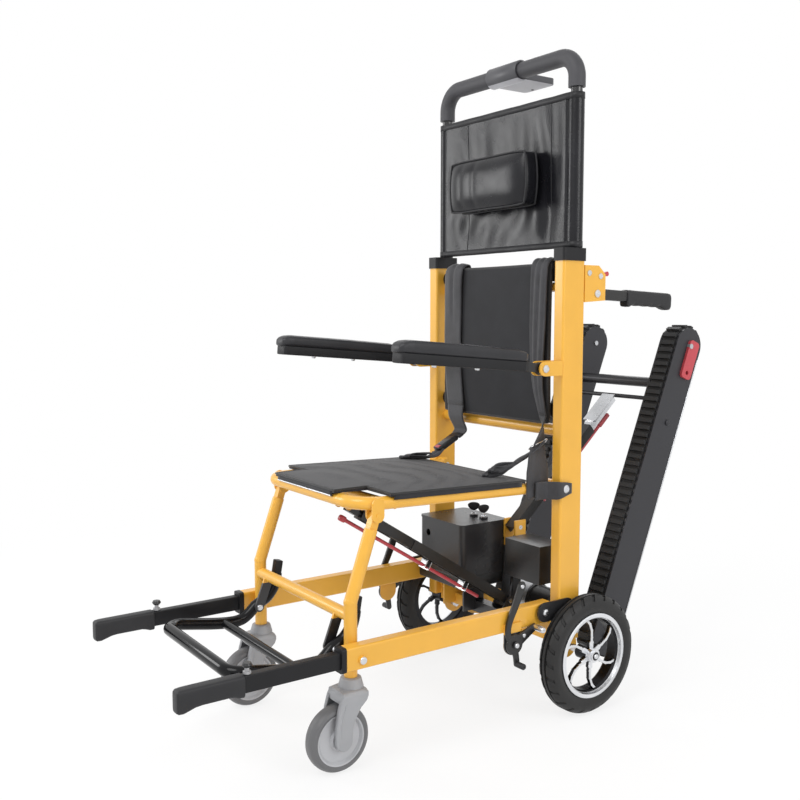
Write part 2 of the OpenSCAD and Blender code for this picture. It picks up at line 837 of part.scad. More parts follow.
// Bent seat tube with hinge bosses at the rear, leg forks at the front and a cross tube
module seat_frame() {
  r = seat_dia / 2;
  fork = leg_tab / 2 + gap;
  color(yellow) framed()
    difference() {
      union() {
        on_seat() {
          seat_path(r, 0);
          xrod([0, -70, -4], -seat_x, seat_x, 9);
          xrod([0, eye_local[1], -6], -seat_x, seat_x, 8);
          for (x = [-22, 18])
            side_plate(x, x + 4) link_2d(yz(eye_local), [eye_local[1], -6], 8);
          xrod(eye_local, -24, 24, pin_r);
        }
        both() {
          xrod(P1, seat_x - r - 0.8, seat_x + r + 0.8, 15);
          for (x = [leg_x - fork - 4, leg_x + fork])
            side_plate(x, x + 4) link_2d(yz(Q1), yz(Q1) + [0, 20], 13);
          xrod(Q1, leg_x - fork - 5, leg_x + fork + 5, pin_r);
        }
      }
      both() xrod(P1, seat_x - r - 1, seat_x + r + 1, bore_r);
    }
}

// Padded cover lying over the seat tubes, with a flap outside each tube, cut back at the front corners
module seat_sling() {
  r = seat_dia / 2 + gap;
  t = 2.5;
  rear = 82;
  nose = seat_front + r + t - rear;
  color("black") framed() on_seat() {
    difference() {
      translate([0, -rear - nose / 2, r + 3.5])
        rotate([-90, 0, 0])
          stuffed_pad(2 * (seat_x + r + t), nose, 7, 4, 0, 0.008, 6, 20, 20);
      both()
        translate([seat_x - seat_notch, -seat_front - 30, -20]) cube([100, seat_notch + 24, 80]);
    }
    both()
      translate([seat_x + r, -seat_front + seat_notch + 2, -4]) cube([t, seat_front - seat_notch - rear - 12, r + 7]);
    translate([-seat_x + seat_notch + 8, -seat_front - r - t, -3]) cube([2 * (seat_x - seat_notch) - 16, t, r + 6]);
  }
}

// Lap belt halves with buckle tongue and buckle, lying on the rear corners of the seat
module lap_belts() {
  top = seat_dia / 2 + 14.3;
  rear = [[-59.3, -6], [-59.3, 4], [-66, 20], [-80, top + 0.5]];
  color("black") framed() on_seat() {
    side_plate(96, 134) band_2d(concat(rear, [[-130, top], [-172, top + 1]]), 3);
    side_plate(-134, -96) band_2d(concat(rear, [[-140, top]]), 3);
    translate([115, -196, top + 5.7]) linear_extrude(14, center = true) round_rect(44, 56, 8);
    translate([-115, -166, top + 1.7]) linear_extrude(6, center = true) round_rect(40, 58, 8);
  }
}

// Two rectangular rails with the brake pivots on their outer sides
module side_rails() {
  color(yellow) framed() both() {
    difference() {
      translate([rail_x, 0, 0])
        rotate([90, 0, 0])
          translate([0, (P2[2] + Q2[2]) / 2, -rail_rear])
            linear_extrude(rail_rear - rail_front)
              difference() {
                round_rect(rail_w, rail_h, 4);
                round_rect(rail_w - 2 * rail_wall, rail_h - 2 * rail_wall, 2);
              }
      xrod(P2, rail_in - 1, rail_out + 1, bore_r);
    }
    // Closed rear end with a round boss for the pivot
    xrod_boss(P2);
    // Pin that carries the leg
    xrod(Q2, leg_x - 12, rail_in + rail_wall, pin_r);
    bolt_head(Q2, rail_out, 8, 1);
    // Half-round brake plate that hangs below the rail
    side_plate(rail_out, rail_out + 4)
      translate(yz(brake_pivot)) {
        circle(22.5);
        translate([-22, 0]) square([44, 42]);
      }
    xrod(brake_pivot, rail_out + 3, rail_out + 12.6, pin_r);
    bolt_head(brake_pivot, rail_out + 12.6, 7, 1);
    for (z = [14, 31]) bolt_head(brake_pivot + [0, -14, z], rail_out + 4, 5, 1);
  }
}

module xrod_boss(p) {
  difference() {
    xrod(p, rail_in + rail_wall, rail_out - rail_wall, 11);
    xrod(p, rail_in, rail_out, bore_r);
  }
}

// Black sockets in the front ends of the rails
module rail_sockets() {
  z = (P2[2] + Q2[2]) / 2;
  color("black") framed() both()
    translate([rail_x, rail_front, z])
      rotate([90, 0, 0])
        difference() {
          union() {
            linear_extrude(10) round_rect(rail_w + 2, rail_h + 2, 5);
            translate([0, 0, -20])
              linear_extrude(20) round_rect(rail_w - 2 * rail_wall, rail_h - 2 * rail_wall, 2);
          }
          translate([0, 0, -21]) linear_extrude(40) square([carry_w + 1, carry_h + 1], center = true);
        }
}

// Two bent leg tubes with cross bar, footrest ears and caster sockets
module front_legs() {
  r = leg_dia / 2;
  knee = [0, leg_y, leg_bend_z];
  rake = atan2(Q1[1] - leg_y, Q1[2] - leg_bend_z);
  tab_end = Q1 - 27 * [0, sin(rake), cos(rake)];
  ear_x = foot_w / 2 + foot_dia / 2 + 1;
  color(yellow) framed()
    difference() {
      union() {
        both() {
          translate([leg_x, 0, 0]) {
            rod(knee, tab_end, r);
            translate(knee) sphere(r + 0.5);
            rod([0, leg_y, leg_low], knee, r);
            side_plate(-leg_tab / 2, leg_tab / 2) link_2d(yz(Q1), yz(tab_end), 8);
          }
          side_plate(ear_x, ear_x + 5)
            link_2d(yz(foot_pivot), [leg_y, leg_bar_z], 10);
        }
        xrod([0, leg_y, leg_bar_z], -leg_x + 3, leg_x - 3, 11.5);
      }
      both() {
        xrod(Q1, leg_x - leg_tab, leg_x + leg_tab, bore_r + gap);
        xrod(Q2, leg_x - r - 1, leg_x + r + 1, bore_r);
        xrod(foot_pivot, ear_x - 1, ear_x + 6, bore_r);
        translate([leg_x, leg_y, leg_low - 1]) cylinder(h = 36, r = 7.05);
      }
    }
}

// Folding footrest: bent tube, second cross tube, upright arms with stop blocks
module footrest() {
  r = foot_dia / 2;
  half = foot_w / 2;
  color("black") framed()
    translate(foot_pivot)
      union() {
        for (s = [-1, 1]) {
          translate([s * half, 0, 0]) rotate([90, 0, 0]) cylinder(h = foot_reach - foot_bend, r = r);
          translate([s * half, 0, 0]) sphere(r + 0.5);
          translate([s * half, 0, 0]) rod([0, 0, 0], [0, 46, 40], r);
          translate([s * half - 9, 38, 28]) cube([18, 14, 52]);
        }
        translate([-half + foot_bend, -foot_reach, 0]) rotate([0, 90, 0])
          cylinder(h = foot_w - 2 * foot_bend, r = r);
        translate([half - foot_bend, -foot_reach + foot_bend, 0]) bend(foot_bend, r, -90, 90);
        translate([-half + foot_bend, -foot_reach + foot_bend, 0]) bend(foot_bend, r, 180, 90);
        xrod([0, -foot_reach * 0.44, 0], -half, half, r - 0.6);
        for (s = [0, 1]) mirror([s, 0, 0]) {
          xrod([0, 0, 0], half, half + r + 6 + gap, pin_r);
          bolt_head([0, 0, 0], half + r + 6 + gap, 7, 1);
        }
      }
}

carry_z = (P2[2] + Q2[2]) / 2;
pin_y = carry_front + carry_grip + 10;

// One carry handle: square tube that slides in the rail, with a flared grip
module carry_handle() {
  color("black") framed()
    translate([rail_x, 0, carry_z])
      difference() {
        union() {
          translate([-carry_w / 2, carry_front + 20, -carry_h / 2])
            cube([carry_w, carry_out + 160, carry_h]);
          translate([0, carry_front, 0])
            rotate([-90, 0, 0]) {
              linear_extrude(10) round_rect(rail_w + 2, carry_h + 8, 8);
              translate([0, 0, 10]) linear_extrude(carry_grip - 24) round_rect(rail_w - 1, carry_h + 4, 8);
              translate([0, 0, carry_grip - 14]) linear_extrude(8) round_rect(rail_w + 2, carry_h + 9, 8);
              for (i = [1 : 5])
                translate([0, 0, i * 16]) linear_extrude(7) round_rect(rail_w, carry_h + 5.5, 8);
            }
        }
        translate([0, pin_y, 0]) cylinder(h = carry_h, r = 4.1);
        translate([-carry_w / 2 + 2, carry_front + carry_grip + 20, -carry_h / 2 + 2])
          cube([carry_w - 4, carry_out + 80, carry_h - 4]);
      }
}

module left_carry_handle() {
  carry_handle();
}

module right_carry_handle() {
  mirror([1, 0, 0]) carry_handle();
}

module lock_pin() {
  top = carry_z + carry_h / 2;
  color("black") framed()
    translate([rail_x, pin_y, top]) {
      translate([0, 0, -12]) cylinder(h = 24, r = 4);
      translate([0, 0, 1]) cylinder(h = 4, r = 7);
      translate([0, 0, 12]) cylinder(h = 4, r1 = 6, r2 = 9);
      translate([0, 0, 16]) cylinder(h = 4, r1 = 9, r2 = 7);
    }
}

module left_lock_pin() {
  lock_pin();
}

module right_lock_pin() {
  mirror([1, 0, 0]) lock_pin();
}

fork_top = 150;
caster_y = leg_y - caster_trail;

// Swivel fork of a caster: stem, crown and two raked cheeks
module caster_fork() {
  r = caster_dia / 2;
  inner = caster_w / 2 + 2;
  color("lightgray") framed()
    difference() {
      union() {
        translate([leg_x, leg_y, fork_top - 6]) cylinder(h = leg_low + 28 - fork_top, r = 7);
        translate([leg_x, leg_y, fork_top]) cylinder(h = leg_low - gap - fork_top, r = 17);
        translate([leg_x, leg_y, fork_top - 12]) cylinder(h = 12, r = 24);
        translate([leg_x - inner - 4, leg_y - 30, r + r + 4]) cube([2 * inner + 8, 48, fork_top - 2 * r - 6]);
        for (x = [leg_x - inner - 4, leg_x + inner])
          side_plate(x, x + 4)
            union() {
              link_2d([caster_y, r], [leg_y - 8, fork_top - 18], 15);
            }
      }
      xrod([0, caster_y, r], leg_x - inner - 6, leg_x + inner + 6, 4.1);
    }
}

module left_caster_fork() {
  caster_fork();
}

module right_caster_fork() {
  mirror([1, 0, 0]) caster_fork();
}

// Caster wheel with its rounded tyre, dished hub and axle
module caster_wheel() {
  r = caster_dia / 2;
  h = caster_w / 2;
  inner = h + 2;
  color("gray") framed()
    translate([leg_x, caster_y, r])
      rotate([0, 90, 0]) {
        rotate_extrude()
          polygon([[0, -h + 6], [12, -h + 6], [15, -h + 1], [18, -h + 1], [21, -h + 7], [r - 20, -h + 7],
            [r - 16, -h + 2], [r - 9, -h], [r - 4, -h + 2], [r - 1, -h + 7], [r, -h + 12], [r, h - 12],
            [r - 1, h - 7], [r - 4, h - 2], [r - 9, h], [r - 16, h - 2], [r - 20, h - 7], [21, h - 7],
            [18, h - 1], [15, h - 1], [12, h - 6], [0, h - 6]]);
        translate([0, 0, -inner - 7]) cylinder(h = 2 * inner + 14, r = 4);
        for (s = [-1, 1]) translate([0, 0, s * (inner + 6.5)]) cylinder(h = 4, r = 8, center = true);
      }
}

module left_caster_wheel() {
  caster_wheel();
}

module right_caster_wheel() {
  mirror([1, 0, 0]) caster_wheel();
}

// Line of one spoke: share of the way out to the rim ring, and its turn in degrees
spoke_line = [[0.2, 0], [0.45, -3], [0.65, -1.5], [0.83, 3.5], [0.97, 10]];

// Alloy wheel: rim ring, hub and curved spokes
module rim() {
  r = rim_dia / 2;
  h = tyre_w / 2;
  color("silver") framed()
    translate([wheel_x, axle_back, axle_z])
      rotate([0, 90, 0])
        difference() {
          union() {
            rotate_extrude()
              polygon([[r - 12, -h + 6], [r, -h + 4], [r, h - 1], [r - 3, h], [r - 8, h], [r - 10, h - 6],
                [r - 14, h - 12], [r - 14, -h + 10]]);
            translate([0, 0, -h + 2]) cylinder(h = tyre_w - 2, r = 15);
            translate([0, 0, h - 1]) cylinder(h = 5, r = 11);
            translate([0, 0, h - 18])
              linear_extrude(9)
                for (i = [0 : spokes - 1])
                  rotate(i * 360 / spokes) {
                    chain_2d([[8, 0], [25, -1]], 5.5);
                    chain_2d([for (k = spoke_line) (r - 10) * k[0] * [cos(k[1]), sin(k[1])]], 3);
                  }
          }
          translate([0, 0, -h]) cylinder(h = tyre_w - 4, r = axle_dia / 2 + 0.05);
        }
}

// Solid tyre with two grooves round its tread
module tyre() {
  r = wheel_dia / 2;
  ri = rim_dia / 2;
  h = tyre_w / 2;
  color("black") framed()
    translate([wheel_x, axle_back, axle_z])
      rotate([0, 90, 0])
        rotate_extrude($fn = 96)
          polygon([[ri, -h + 4], [ri + 6, -h + 1], [ri + 16, -h], [r - 10, -h + 2], [r - 4, -h + 7], [r, -h + 13],
            [r, -8], [r - 4, -7], [r - 4, -4], [r, -3], [r, 3], [r - 4, 4], [r - 4, 7], [r, 8], [r, h - 13],
            [r - 4, h - 7], [r - 10, h - 2], [ri + 16, h], [ri + 6, h - 1], [ri, h - 4]]);
}

module left_rim() {
  rim();
}

module left_tyre() {
  tyre();
}

module right_rim() {
  mirror([1, 0, 0]) rim();
}

module right_tyre() {
  mirror([1, 0, 0]) tyre();
}

// Puts a piece into the track's own line: origin at the lower shaft, +Z towards the upper roller
module on_track() {
  translate(shaft) rotate([-track_lean, 0, 0]) children();
}

// Stadium outline of the belt path at a radius r
module stadium(r) {
  link_2d([0, 0], [0, track_len], r);
}

beam_low = 62;
beam_x = belt_w / 2 + 2;

// Aluminium side plates of both tracks, with their spacers, cross tube and thin rod
module track_beams() {
  t = 5;
  color(black) framed() on_track() {
    both()
      for (x = [track_gap / 2 - beam_x - t, track_gap / 2 + beam_x])
        side_plate(x, x + t)
          difference() {
            stadium(belt_r);
            circle(shaft_dia / 2 + gap);
            translate([0, track_len]) circle(6.1);
          }
    both()
      for (z = [90, track_len / 2 + 12, track_len - 90])
        xrod([0, 14, z], track_gap / 2 - beam_x - 1, track_gap / 2 + beam_x + 1, 7);
    xrod([0, -16, track_len - 100], -track_gap / 2 + beam_x, track_gap / 2 - beam_x, 12);
    xrod(rod_local, -track_gap / 2 + beam_x, track_gap / 2 - beam_x, 5);
    both() bolt_head([0, 0, track_len - 190], track_gap / 2 + beam_x + t, 7, 1);
  }
}

// Rubber belts with a row of cleats round the whole loop
module track_belts() {
  pitch = track_len / cleats;
  around = 7;
  color("black") framed() on_track() both()
    side_plate(track_gap / 2 - belt_w / 2, track_gap / 2 + belt_w / 2) {
      difference() {
        stadium(belt_r);
        stadium(roller_r);
      }
      for (i = [0 : cleats - 1], s = [-1, 1])
        translate([s * (belt_r + cleat_h / 2 - 0.5), (i + 0.5) * pitch])
          square([cleat_h + 1, pitch * 0.55], center = true);
      for (i = [0 : around - 1]) {
        rotate(-180 + 180 * (i + 0.5) / around)
          translate([belt_r - 0.5, -pitch * 0.27]) square([cleat_h + 0.5, pitch * 0.55]);
        translate([0, track_len])
          rotate(180 * (i + 0.5) / around)
            translate([belt_r - 0.5, -pitch * 0.27]) square([cleat_h + 0.5, pitch * 0.55]);
      }
    }
}

// Red belt tensioner blocks at the upper ends
module track_end_slides() {
  color("red") framed() on_track() both()
    side_plate(track_gap / 2 + beam_x + 5, track_gap / 2 + beam_x + 11)
      difference() {
        union() {
          translate([12, track_len - 30]) round_rect(34, 92, 9);
        }
        translate([0, track_len]) circle(6.1);
        translate([12, track_len - 62]) circle(5);
      }
}

// Driven lower shaft with its two toothed rollers
module drive_shaft() {
  teeth = 14;
  color("silver") framed()
    translate(shaft) {
      xrod([0, 0, 0], -track_gap / 2 - beam_x - 10, track_gap / 2 + beam_x + 10, shaft_dia / 2);
      both()
        side_plate(track_gap / 2 - belt_w / 2 + 1, track_gap / 2 + belt_w / 2 - 1) {
          circle(roller_r - 6);
          for (i = [0 : teeth - 1])
            rotate(i * 360 / teeth) translate([roller_r - 7, -3.5]) square([6, 7]);
        }
    }
}

// Upper rollers, each on its own pin
module idler_rollers() {
  color("silver") framed() on_track()
    translate([0, 0, track_len])
      both() {
        xrod([0, 0, 0], track_gap / 2 - beam_x - 8, track_gap / 2 + beam_x + 13, 6);
        side_plate(track_gap / 2 - belt_w / 2 + 1, track_gap / 2 + belt_w / 2 - 1) circle(roller_r - gap);
      }
}

// Puts a piece along a strut: origin at its base pivot, +Z along the strut
module on_strut() {
  translate(strut_base) rotate([strut_angle - 90, 0, 0]) children();
}

// Outer channel of the track strut, open on its rear side
module track_strut() {
  w = 14;
  color("black") framed() on_strut()
    difference() {
      translate([-w, -12, -12]) cube([2 * w, 24, strut_span - 100]);
      translate([-w + 3, -9, -13]) cube([2 * w - 6, 30, strut_span]);
      xrod([0, 0, 0], -30, 30, bore_r);
    }
}

// Inner slide of the track strut, whose end stands against the tracks' rod
module track_strut_slide() {
  end = strut_span - 8;
  color("dimgray") framed() on_strut() {
    difference() {
      translate([-10.5, -8.5, 60]) cube([21, 18, end - 60]);
      translate([-7, -4, 59]) cube([14, 20, end - 84]);
    }
    translate([-20, -12, end - 90]) cube([40, 4, 90]);
  }
}

// Red release lever along the track strut
module track_latch() {
  color("red") framed() on_strut() {
    rod([0, 24, 100], [0, 24, strut_span - 60], 4);
    translate([-5, 19, strut_span - 84]) cube([10, 9, 40]);
    for (z = [130, 230]) translate([-13, 12 + gap, z]) cube([26, 17.7, 8]);
  }
}

// Puts a piece along the seat strut: origin at its base pivot, +Z along the strut towards the front
module on_seat_strut() {
  translate(seat_strut_base) rotate([90 - seat_strut_angle, 0, 0]) children();
}

// Outer channel of the seat strut, open on its lower side
module seat_strut() {
  w = 14;
  color("black") framed() on_seat_strut()
    difference() {
      translate([-w, -11, -12]) cube([2 * w, 22, 330]);
      translate([-w + 3, -22, -13]) cube([2 * w - 6, 30, 340]);
      xrod([0, 0, 0], -30, 30, bore_r);
    }
}

// Inner rod of the seat strut, whose end stands against the pin under the seat
module seat_strut_rod() {
  end = seat_strut_len - 9;
  color("silver") framed() on_seat_strut() {
    translate([0, 0, 110]) cylinder(h = end - 120, r = 7.5);
    translate([0, 0, 325]) cylinder(h = 50, r = 9.5);
    translate([-9, -8, end - 26]) cube([18, 16, 26]);
  }
}

// Red release bar under the seat strut, held in two small clips
module seat_release_bar() {
  drop = 26;
  color("red") framed() on_seat_strut() {
    rod([0, -drop, 80], [0, -drop, 500], 4);
    for (z = [130, 250])
      translate([-13, -drop - 6, z]) cube([26, drop - 5 - gap, 10]);
    translate([0, -drop, 500]) sphere(6);
  }
}

// Foot brake: pivot boss, flat hand lever, arm with pedal pad, and the shoe that meets the tyre
module brake_lever() {
  x0 = rail_out + 4.3;
  hand = [0, 16, 120];
  pedal = [0, -22, -62];
  shoe = [0, 53.9, 26.3];
  color("black") framed()
    difference() {
      union() {
        xrod(brake_pivot, x0, x0 + 8, 12);
        side_plate(x0, x0 + 6) {
          chain_2d([yz(brake_pivot), yz(brake_pivot + hand)], 7);
          chain_2d([yz(brake_pivot), yz(brake_pivot + pedal)], 6.4);
          chain_2d([yz(brake_pivot), yz(brake_pivot + shoe)], 6);
        }
        xrod(brake_pivot + pedal, x0, x0 + 34, 7);
        xrod(brake_pivot + hand, x0, x0 + 8, 9);
        xrod(brake_pivot + shoe, x0, x0 + 32, 6.3);
      }
      xrod(brake_pivot, x0 - 1, x0 + 20, bore_r);
    }
}

module left_brake_lever() {
  brake_lever();
}

module right_brake_lever() {
  mirror([1, 0, 0]) brake_lever();
}

key_r = 6;
key_x = [12, 48];
key_y = 22;
port_r = 8;
port_x = -46;

// A flat key with a moulded head in its lock barrel
module key(i) {
  color("black") framed()
    translate(battery_mid + [key_x[i], key_y, battery_h]) {
      translate([0, 0, -4]) cylinder(h = 16, r = key_r);
      translate([-1.5, -4, 11]) cube([3, 8, 8]);
      translate([-2.5, 0, 27])
        rotate([90, 0, 90])
          linear_extrude(5) round_rect(20, 20, 7);
    }
}

module ignition_key() {
  key(0);
}

module battery_key() {
  key(1);
}

rear_posts();
post_collars();
chassis_frame();
post_brackets();
lower_back_panel();
wheel_axle();
battery_case();
battery_lid();
battery_pack();
controller_box();
drive_motor();
gearbox();
shoulder_straps();
frame_bolts();
push_bar_tube();
push_bar_foam();
control_box();
upper_back_panel();
headrest_pad();
direction_rocker();
left_armrest();
right_armrest();
left_rear_handle();
right_rear_handle();
left_handle_latch();
right_handle_latch();
seat_frame();
seat_sling();
lap_belts();
side_rails();
rail_sockets();
front_legs();
footrest();
left_carry_handle();
right_carry_handle();
left_lock_pin();
right_lock_pin();
left_caster_fork();
right_caster_fork();
left_caster_wheel();
right_caster_wheel();
left_rim();
left_tyre();
right_rim();
right_tyre();
track_beams();
track_belts();
track_end_slides();
drive_shaft();
idler_rollers();
track_strut();
track_strut_slide();
track_latch();
seat_strut();
seat_strut_rod();
seat_release_bar();
left_brake_lever();
right_brake_lever();
ignition_key();
battery_key();
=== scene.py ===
import bmesh
import bpy
import math
from mathutils import Euler, Matrix, Vector


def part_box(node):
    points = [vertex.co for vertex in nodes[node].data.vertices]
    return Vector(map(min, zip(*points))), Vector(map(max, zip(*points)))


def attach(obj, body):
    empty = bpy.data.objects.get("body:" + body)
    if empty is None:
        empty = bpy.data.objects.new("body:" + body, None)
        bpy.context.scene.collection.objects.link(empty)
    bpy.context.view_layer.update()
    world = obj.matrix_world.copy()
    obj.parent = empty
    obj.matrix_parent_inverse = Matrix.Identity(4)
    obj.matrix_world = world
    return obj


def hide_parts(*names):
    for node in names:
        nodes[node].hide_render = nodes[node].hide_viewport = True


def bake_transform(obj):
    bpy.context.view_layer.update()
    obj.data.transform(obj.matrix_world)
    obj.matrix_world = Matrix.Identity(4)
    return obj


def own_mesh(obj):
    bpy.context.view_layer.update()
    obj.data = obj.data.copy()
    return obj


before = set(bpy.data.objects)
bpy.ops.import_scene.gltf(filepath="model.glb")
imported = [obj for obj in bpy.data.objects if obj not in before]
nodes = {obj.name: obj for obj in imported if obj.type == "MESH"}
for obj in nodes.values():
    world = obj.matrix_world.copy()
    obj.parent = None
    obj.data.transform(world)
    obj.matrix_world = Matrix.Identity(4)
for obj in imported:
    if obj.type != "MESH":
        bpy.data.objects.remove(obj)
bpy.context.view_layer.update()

# Camera at the photograph's viewing angle: standing in front of the chair, to the sitter's left,
# at about the height of the armrests.
lens_mm = 42.76


def placed(name, data):
    """A new object in the scene."""
    made = bpy.data.objects.new(name, data)
    bpy.context.scene.collection.objects.link(made)
    return made


camera_data = bpy.data.cameras.new("camera")
camera_data.lens = lens_mm
camera_data.sensor_width = 36.0
camera = placed("camera", camera_data)
camera.location = (1.6231, -1.2165, 0.8352)
camera.rotation_euler = Euler((math.radians(84.79), 0.0, math.radians(55.14)))
bpy.context.scene.camera = camera
bpy.context.scene.view_settings.view_transform = "Standard"

# White studio: a pale floor that still takes the chair's soft shadow, a white surround, and large
# soft lamps above and on both sides.
floor_size = 30.0


def set_inputs(made, **values):
    """Sets a node's inputs by their names, with _ for each space."""
    for socket, value in values.items():
        made.inputs[socket.replace("_", " ")].default_value = value


def add_node(tree, kind, operation=None, second=None, **values):
    """A new shader node with its operation, its second input and its named inputs set."""
    made = tree.nodes.new("ShaderNode" + kind)
    if operation:
        made.operation = operation
    if second is not None:
        made.inputs[1].default_value = second
    set_inputs(made, **values)
    return made


def wire(tree, *sockets):
    """Links sockets in pairs, an output and the input that it feeds."""
    for start, end in zip(sockets[::2], sockets[1::2]):
        tree.links.new(start, end)


def seen_directly(tree):
    """A value of 1 where the eye, a mirror or glass looks straight at the surface."""
    path = add_node(tree, "LightPath")
    seen = path.outputs["Is Camera Ray"]
    for ray in ("Is Glossy Ray", "Is Transmission Ray"):
        either = add_node(tree, "Math", "MAXIMUM")
        wire(tree, seen, either.inputs[0], path.outputs[ray], either.inputs[1])
        seen = either.outputs[0]
    return seen


world = bpy.data.worlds.new("studio")
bpy.context.scene.world = world
world.use_nodes = True
surround = world.node_tree.nodes["Background"]
surround.inputs["Color"].default_value = (1.0, 1.0, 1.0, 1.0)
level = add_node(world.node_tree, "MapRange", To_Min=0.66, To_Max=1.0)
wire(world.node_tree, seen_directly(world.node_tree), level.inputs["Value"],
     level.outputs["Result"], surround.inputs["Strength"])

floor_bm = bmesh.new()
bmesh.ops.create_grid(floor_bm, x_segments=2, y_segments=2, size=floor_size / 2)
floor_mesh = bpy.data.meshes.new("floor")
floor_bm.to_mesh(floor_mesh)
floor_bm.free()
floor = placed("floor", floor_mesh)
floor.location.z = -0.0005
floor_paint = bpy.data.materials.new("floor_paint")
floor_paint.use_nodes = True
tree = floor_paint.node_tree
matt = tree.nodes["Principled BSDF"]
set_inputs(matt, Base_Color=(0.93, 0.93, 0.93, 1.0), Roughness=0.9, Specular_IOR_Level=0.0)
glow = add_node(tree, "Emission", Strength=1.0)
mix = add_node(tree, "MixShader")
share = add_node(tree, "Math", "MULTIPLY")
away = add_node(tree, "VectorMath", "LENGTH")
fade = add_node(tree, "MapRange", From_Min=0.6, From_Max=2.0, To_Min=0.8, To_Max=1.0)
wire(tree, add_node(tree, "TexCoord").outputs["Object"], away.inputs[0], away.outputs["Value"], fade.inputs["Value"],
     seen_directly(tree), share.inputs[0], fade.outputs["Result"], share.inputs[1], share.outputs[0], mix.inputs[0],
     matt.outputs[0], mix.inputs[1], glow.outputs[0], mix.inputs[2],
     mix.outputs[0], tree.nodes["Material Output"].inputs["Surface"])
floor_mesh.materials.append(floor_paint)

lamp_target = Vector((0.0, 0.0, 0.7))
for lamp_name, place, power, width in (
    ("key_lamp", (0.6, -2.6, 3.2), 62.0, 2.2),
    ("fill_lamp", (-2.5, -2.3, 1.5), 26.0, 1.3),
    ("side_lamp", (3.2, 0.6, 1.9), 34.0, 1.8),
    ("back_lamp", (-1.8, 2.4, 2.6), 30.0, 2.0),
):
    lamp_data = bpy.data.lights.new(lamp_name, "AREA")
    lamp_data.energy = power
    lamp_data.shape = "DISK"
    lamp_data.size = width
    lamp = placed(lamp_name, lamp_data)
    lamp.location = place
    lamp.rotation_euler = (lamp_target - Vector(place)).to_track_quat("-Z", "Y").to_euler()

# Welded frame of square posts, rails and bent round tube, in gloss yellow powder coat: a slightly
# orange-peeled film whose tone drifts a little. The rail lugs, the ears of the legs, the drive bay
# between the track carriers and the brake plates are painted black.
yellow = (0.80, 0.42, 0.045)


def shader_tree(name, colour, roughness, metallic=0.0):
    """A new material with its plain shader values set, and the shader's tree."""
    finish = bpy.data.materials.new(name)
    finish.use_nodes = True
    shader = finish.node_tree.nodes["Principled BSDF"]
    set_inputs(shader, Base_Color=(*colour, 1.0), Roughness=roughness, Metallic=metallic)
    return finish, finish.node_tree, shader


def noise(tree, scale, detail=3.0, stretch=(1.0, 1.0, 1.0)):
    """Noise on the piece's own place, stretched along the axes."""
    turn = add_node(tree, "Mapping", Scale=stretch)
    cloud = add_node(tree, "TexNoise", Scale=scale, Detail=detail)
    wire(tree, add_node(tree, "TexCoord").outputs["Object"], turn.inputs["Vector"],
         turn.outputs["Vector"], cloud.inputs["Vector"])
    return cloud.outputs["Fac"]


def drift(tree, shader, fac, colour, spread):
    """Lets the colour drift a little darker and lighter with a texture."""
    ramp = tree.nodes.new("ShaderNodeValToRGB")
    ramp.color_ramp.elements[0].position = 0.3
    ramp.color_ramp.elements[1].position = 0.7
    ramp.color_ramp.elements[0].color = (*[c * (1 - spread) for c in colour], 1.0)
    ramp.color_ramp.elements[1].color = (*[min(1.0, c * (1 + spread)) for c in colour], 1.0)
    wire(tree, fac, ramp.inputs["Fac"], ramp.outputs["Color"], shader.inputs["Base Color"])


def rough_range(tree, shader, fac, low, high):
    """Lets the roughness run between two values with a texture."""
    span = add_node(tree, "MapRange", From_Min=0.3, From_Max=0.7, To_Min=low, To_Max=high)
    wire(tree, fac, span.inputs["Value"], span.outputs["Result"], shader.inputs["Roughness"])


def bump(tree, shader, fac, strength, depth):
    """Raises the surface with a texture, depth in metres."""
    relief = add_node(tree, "Bump", Strength=strength, Distance=depth)
    wire(tree, fac, relief.inputs["Height"], relief.outputs["Normal"], shader.inputs["Normal"])


def coated(name, colour, roughness, grain, depth, spread=0.06, metallic=0.0, coat=0.0, strength=0.5, shine=0.5):
    """A painted, moulded or cast finish: drifting tone, uneven gloss and a fine grain."""
    finish, tree, shader = shader_tree(name, colour, roughness, metallic)
    broad = noise(tree, 14.0)
    drift(tree, shader, broad, colour, spread)
    rough_range(tree, shader, broad, roughness * 0.86, roughness * 1.14)
    bump(tree, shader, noise(tree, grain), strength, depth)
    set_inputs(shader, Coat_Weight=coat, Coat_Roughness=0.12, Specular_IOR_Level=shine)
    return finish


def dress(finish, *names):
    """Gives CAD nodes a finish."""
    for name in names:
        nodes[name].data.materials.clear()
        nodes[name].data.materials.append(finish)


def beyond(tree, centre, radius):
    """A value of 1 further than radius from an axle along X through centre."""
    flow = add_node(tree, "TexCoord").outputs["Object"]
    for work, value, result in (("SUBTRACT", centre, "Vector"), ("MULTIPLY", (0.0, 1.0, 1.0), "Vector"),
                                ("LENGTH", None, "Value")):
        step = add_node(tree, "VectorMath", work, value)
        wire(tree, flow, step.inputs[0])
        flow = step.outputs[result]
    limit = add_node(tree, "Math", "GREATER_THAN", radius)
    wire(tree, flow, limit.inputs[0])
    return limit.outputs[0]


def further(tree, axis, limit, above):
    """A value of 1 on one side of a level plane, taken from the middle for X."""
    parts = add_node(tree, "SeparateXYZ")
    size = add_node(tree, "Math", "ABSOLUTE")
    test = add_node(tree, "Math", "GREATER_THAN" if above else "LESS_THAN", limit)
    wire(tree, add_node(tree, "TexCoord").outputs["Object"], parts.inputs[0], parts.outputs[axis], size.inputs[0],
         size.outputs[0], test.inputs[0])
    return test.outputs[0]


